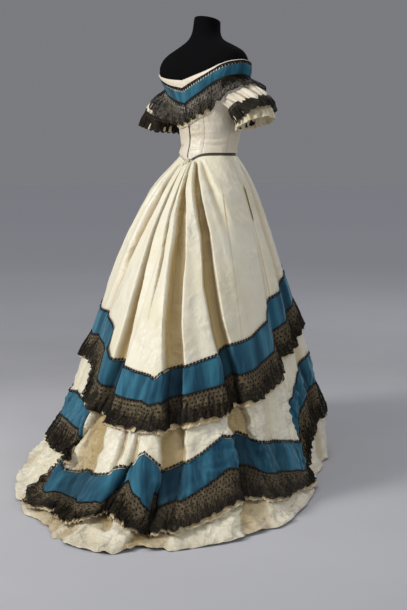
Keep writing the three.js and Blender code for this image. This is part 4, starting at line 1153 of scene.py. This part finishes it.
def bertha_strip(up, high, lift):
    """Rows of a narrow trim, high from top to foot, whose top lies up above the bertha's velvet."""
    def rows(deg):
        top = np.minimum(up, straight(NECK, 2, deg) - 4)
        z = bertha_top(deg) + top - (high + top - up) * shares(6)
        return z, lift + 0 * z
    return rows


body_strip("bertha_neck_lace", bertha_strip(14, 17, 4.3), NECK_LACE)
body_strip("bertha_cord", bertha_strip(4 - BERTHA_VELVET_WIDTH, 6, 6.0), CORD)


def hanging(deg, drop, lift):
    """Points below the bertha's velvet, moved out and down."""
    z = bertha_top(deg) - BERTHA_VELVET_WIDTH - SEAM_GAP + 0 * drop
    flat = smooth((lift - 20) / 30)[..., None]
    column = deg + 0 * drop
    low = body(column, z - drop, lift)
    out = body(column, z, lift)
    out[..., 2] = z - drop
    return mix(low, out, flat)


def bertha_lace():
    deg = np.linspace(-180, 180, 1081)[:, None]
    rad = np.radians(deg)
    share = shares(16)
    drop, spread = straight(NECK, 3, deg), straight(NECK, 4, deg)
    wave = np.sin(rad * 34 + 2.8 * np.sin(rad * 7)) + 0.4 * np.sin(rad * 97)
    wave = wave * (0.5 + 0.4 * np.sin(rad * 5 + 1))
    drop = drop + 3 * np.sin(rad * 27) + 2.4 * np.sin(rad * 61 + 1)
    lift = BERTHA_LIFT + 1.2 + (spread - BERTHA_LIFT) * share ** 0.8 + wave * 3.4 * smooth(share * 1.5)
    points = hanging(deg, drop * share, lift)
    cloth("bertha_lace", points, BERTHA_LACE, ["bertha_lace"],
          uv=lace_uv(points, 1.15), full=1.3)


def bertha_frill(name, start, end):
    deg = np.linspace(start, end, int((end - start) * 5) + 1)[:, None]
    share = shares(8)
    down = straight(NECK, 3, deg) * mix(0.45, 1.0, share) + 7 * share
    lift = 3.6 + 4.5 * share + np.sin(np.radians(deg) * 90) * 1.3 * share
    cloth(name, hanging(deg, down, lift), FRILL, [name],
          full=1.2)


bertha_lace()
bertha_frill("bertha_frill_back", -40, 40)
bertha_frill("bertha_frill_front", 140, 220)


def waistband_rows(deg):
    share = shares(6)
    z = waist_line(deg) + 2 - (WAISTBAND_HEIGHT + 4) * share
    lift = -0.6 + 0.9 * np.sin(np.pi * share) + 0 * z
    return z, lift


def waist_shade(deg):
    """Painted shadow in the waist's recess, from the centre back round the wearer's right side."""
    way = turned(deg, 60)
    return np.clip(1.15 * (1 - smooth((np.abs(way) - 46) / 10)) + 0.2, 0, 1.15)


body_strip("waistband", waistband_rows, WAIST_SHADE_SILK, ["waistband"],
           shade=waist_shade)

# ---------------------------------------------------------------- sleeves


def sleeve_ring(table, share, turn, grow, side):
    """Points on a sleeve: share runs down the rings, turn round them."""
    keys = np.linspace(0, 1, len(table))
    x, z, tilt, up, deep = (curve(keys, table[:, k], share) for k in range(5))
    up = (up + grow) * np.cos(turn)
    tilt = np.radians(tilt)
    lower = LEFT_SLEEVE_LOWER if side > 0 else 0
    back = (deep + grow) * np.sin(turn)
    yaw = RIGHT_SLEEVE_YAW if side < 0 else 0
    px = side * (x + up * np.sin(tilt) + back * yaw * smooth(share * 1.3))
    return np.stack([px, SLEEVE_CENTRE_Y + back, z + up * np.cos(tilt) - lower], -1)


def body_side(y, z):
    """How far out the torso's surface lies at a place seen from the side."""
    keys = BODY[:, 0]
    square = curve(keys, BODY[:, 4], z)
    along = np.clip(np.abs(y - curve(keys, BODY[:, 2], z)) / curve(keys, BODY[:, 3], z), 0, 1)
    return curve(keys, BODY[:, 1], z) * (1 - along ** square) ** (1 / square)


def armhole(turn, side):
    """The sleeve's first ring, just off the bodice."""
    y = SLEEVE_CENTRE_Y + ARMHOLE_HALF_DEPTH * np.sin(turn)
    z = ARMHOLE_CENTRE_Z + ARMHOLE_HALF_HEIGHT * np.cos(turn)
    return np.stack([side * body_side(y, z) + side * ARMHOLE_STAND, y, z], -1)


def sleeve(word, side):
    """A gathered puff with a tier of lace and a frill round it; side is 1 on the wearer's left."""
    turn = np.linspace(0, 2 * np.pi, 361)[:, None]
    share = shares(40)
    down = np.clip((share - 0.12) / 0.88, 0, 1)
    ruche = np.sin(turn * 23 + 2.4 * np.sin(turn * 4 + 1)) * 2.6 + np.sin(turn * 9 + 3 * share) * 3.2
    ruche = ruche * np.sin(np.pi * np.clip(share * 1.05, 0, 1)) ** 0.6
    points = sleeve_ring(PUFF, down, turn, ruche - (LEFT_PUFF_SLIMMER if side > 0 else 0), side)
    points = mix(armhole(turn, side), points, smooth(share / 0.2)[..., None])
    # Painted shade in the hollows of the gathers.
    cloth(f"sleeve_puff_{word}", points, BODICE_SILK,
          [f"sleeve_puff_{word}"], values={"painted_shade": np.clip(-ruche / 8, 0, 0.7)}, full=1.2)
    share = shares(16)
    third = np.sin(turn * 3 + side)
    wave = np.sin(turn * 15 + 2.5 * np.sin(turn * 4 + side)) * 5 + np.sin(turn * 6 + 1) * 5 + 6 * third
    points = sleeve_ring(SLEEVE_LACE[side], share + 0 * turn, turn, wave * smooth(share * 1.4) + 2, side)
    cloth(f"sleeve_lace_{word}", points, SLEEVE_NET,
          [f"sleeve_lace_{word}"], uv=lace_uv(points, 1.2), full=1.2)
    wave = np.sin(turn * 22 + 2.2 * np.sin(turn * 3)) * 4 + np.sin(turn * 7 + side) * 5 + 5 * third
    points = sleeve_ring(SLEEVE_FRILL[side], share + 0 * turn, turn, wave * smooth(share * 1.4), side)
    cloth(f"sleeve_frill_{word}", points, FRILL,
          [f"sleeve_frill_{word}"], full=1.2)


sleeve("right", -1)
sleeve("left", 1)

# ---------------------------------------------------------------- the waist's tie


TIE_KNOT, TIE_WIDTH = (0, 98, 1031), 5


def tape_end(end, seed):
    """A narrow tape end that twists a little as it hangs from the knot."""
    t = np.linspace(0, 1, 24)[:, None]
    middle = mix(np.array(TIE_KNOT), np.array(end), t)
    middle[:, 1] += 5 * np.sin(np.pi * t[:, 0])
    twist = 0.6 * np.sin(t * 4 + seed)
    across = np.concatenate([np.cos(twist), np.sin(twist) * 0.8, 0.1 * np.sin(twist)], axis=1)
    return np.stack([middle - across * TIE_WIDTH / 2, middle + across * TIE_WIDTH / 2], axis=1)


cloth("waist_tie", tape_end((8, 121, 1006), 0), FRILL, ["waist_tie"])
cloth("waist_tie_end", tape_end((-9, 119, 1010), 2), FRILL)

# ---------------------------------------------------------------- floor, light and camera

CAMERA_AZIMUTH = math.radians(227)
CAMERA_DISTANCE, CAMERA_HEIGHT, FOCAL_PIXELS = 3.6, 1.0, 1026
FRAME_HIGH, HORIZON_ROW, AXIS_OFFSET, SENSOR = 610, 168, 5.5, 36
# The level directions from the gown to the camera and to the picture's right.
TOWARD = np.array([math.sin(CAMERA_AZIMUTH), -math.cos(CAMERA_AZIMUTH), 0])
RIGHT = np.array([math.cos(CAMERA_AZIMUTH), math.sin(CAMERA_AZIMUTH), 0])

# The floor's painted brightness at distances from the gown in metres: paler far off, where the lamps light
# it less, so that it nears the background's.
FLOOR_REACH, FLOOR_SIDES = 60, 128
FLOOR_TINTS = [(0, 0.46), (1.0, 0.46), (1.8, 0.42), (2.6, 0.5), (4, 0.68), (6, 0.87), (9, 0.96), (12, 1.0)]
# Name, place towards the camera, to its right and up, height aimed at, size, power and colour.
LIGHTS = [
    ("key", (1.5, -3.2, 2.3), 0.7, (0.9, 1.3), 112, (1.0, 0.985, 0.96)),
    ("fill", (3.4, 1.9, 1.7), 0.6, (2.4, 2.4), 36, (0.97, 0.98, 1.0)),
    ("top", (0.5, -0.3, 3.6), 0.4, (2.2, 2.2), 25, (1.0, 1.0, 1.0)),
    ("back", (-2.4, 2.2, 3.2), 0.3, (2.0, 2.0), 30, (0.98, 0.99, 1.0)),
]
SKY, SKY_STRENGTH = (0.62, 0.625, 0.665, 1), 0.32


def stage_material():
    p = Paint("studio")
    away = p.node("ShaderNodeVectorMath", {0: p.place}, output=1, operation="LENGTH")
    farthest = FLOOR_TINTS[-1][0]
    ramp = p.tree.nodes.new("ShaderNodeValToRGB")
    p.put(ramp.inputs[0], p.math("DIVIDE", away, farthest))
    stops = ramp.color_ramp.elements
    for distance, _ in FLOOR_TINTS[1:-1]:
        stops.new(distance / farthest)
    for stop, (distance, bright) in zip(stops, FLOOR_TINTS):
        stop.position = distance / farthest
        stop.color = (bright * 0.985, bright * 0.99, bright * 1.05, 1)
    mottle = p.span(p.noise(1.5, 3.0), 0.3, 0.7, 0.0, 0.05)
    p.set(Base_Color=p.blend(mottle, ramp.outputs[0], (1.0, 1.0, 1.0, 1)), Roughness=0.9,
          Specular_IOR_Level=0.2)
    return p.material


def floor():
    """A pale floor that runs out of sight all round."""
    turn = np.linspace(0, 2 * np.pi, FLOOR_SIDES + 1)[:-1, None]
    reach = np.array([0.01, FLOOR_REACH]) / MM
    points = np.stack([np.cos(turn) * reach, np.sin(turn) * reach, 0 * turn * reach], -1)
    piece = make("studio_floor", points, grid_faces(points, True))
    piece.data.materials.append(stage_material())


def light(name, place, aim, size, power, colour):
    lamp = bpy.data.lights.new(name, "AREA")
    lamp.shape = "RECTANGLE"
    lamp.size, lamp.size_y = size
    lamp.energy = power
    lamp.color = colour
    thing = bpy.data.objects.new(name, lamp)
    bpy.context.scene.collection.objects.link(thing)
    forward, side, up = place
    place = TOWARD * forward + RIGHT * side + np.array([0, 0, up])
    thing.location = place
    direction = mathutils.Vector(np.array([0, 0, aim]) - place)
    thing.rotation_euler = direction.to_track_quat("-Z", "Y").to_euler()


floor()
for row in LIGHTS:
    light(*row)

world = bpy.data.worlds.new("studio")
world.use_nodes = True
world.node_tree.nodes["Background"].inputs[0].default_value = SKY
world.node_tree.nodes["Background"].inputs[1].default_value = SKY_STRENGTH
bpy.context.scene.world = world
bpy.context.scene.view_settings.view_transform = "Standard"


def camera():
    data = bpy.data.cameras.new("camera")
    data.sensor_fit = "VERTICAL"
    data.sensor_height = SENSOR
    data.lens = SENSOR * FOCAL_PIXELS / FRAME_HIGH
    eye = bpy.data.objects.new("camera", data)
    bpy.context.scene.collection.objects.link(eye)
    place = TOWARD * CAMERA_DISTANCE - RIGHT * (AXIS_OFFSET / FOCAL_PIXELS * CAMERA_DISTANCE)
    eye.location = (place[0], place[1], CAMERA_HEIGHT)
    pitch = math.atan((FRAME_HIGH / 2 - HORIZON_ROW) / FOCAL_PIXELS)
    eye.rotation_euler = (math.pi / 2 - pitch, 0, CAMERA_AZIMUTH)
    bpy.context.scene.camera = eye


camera()
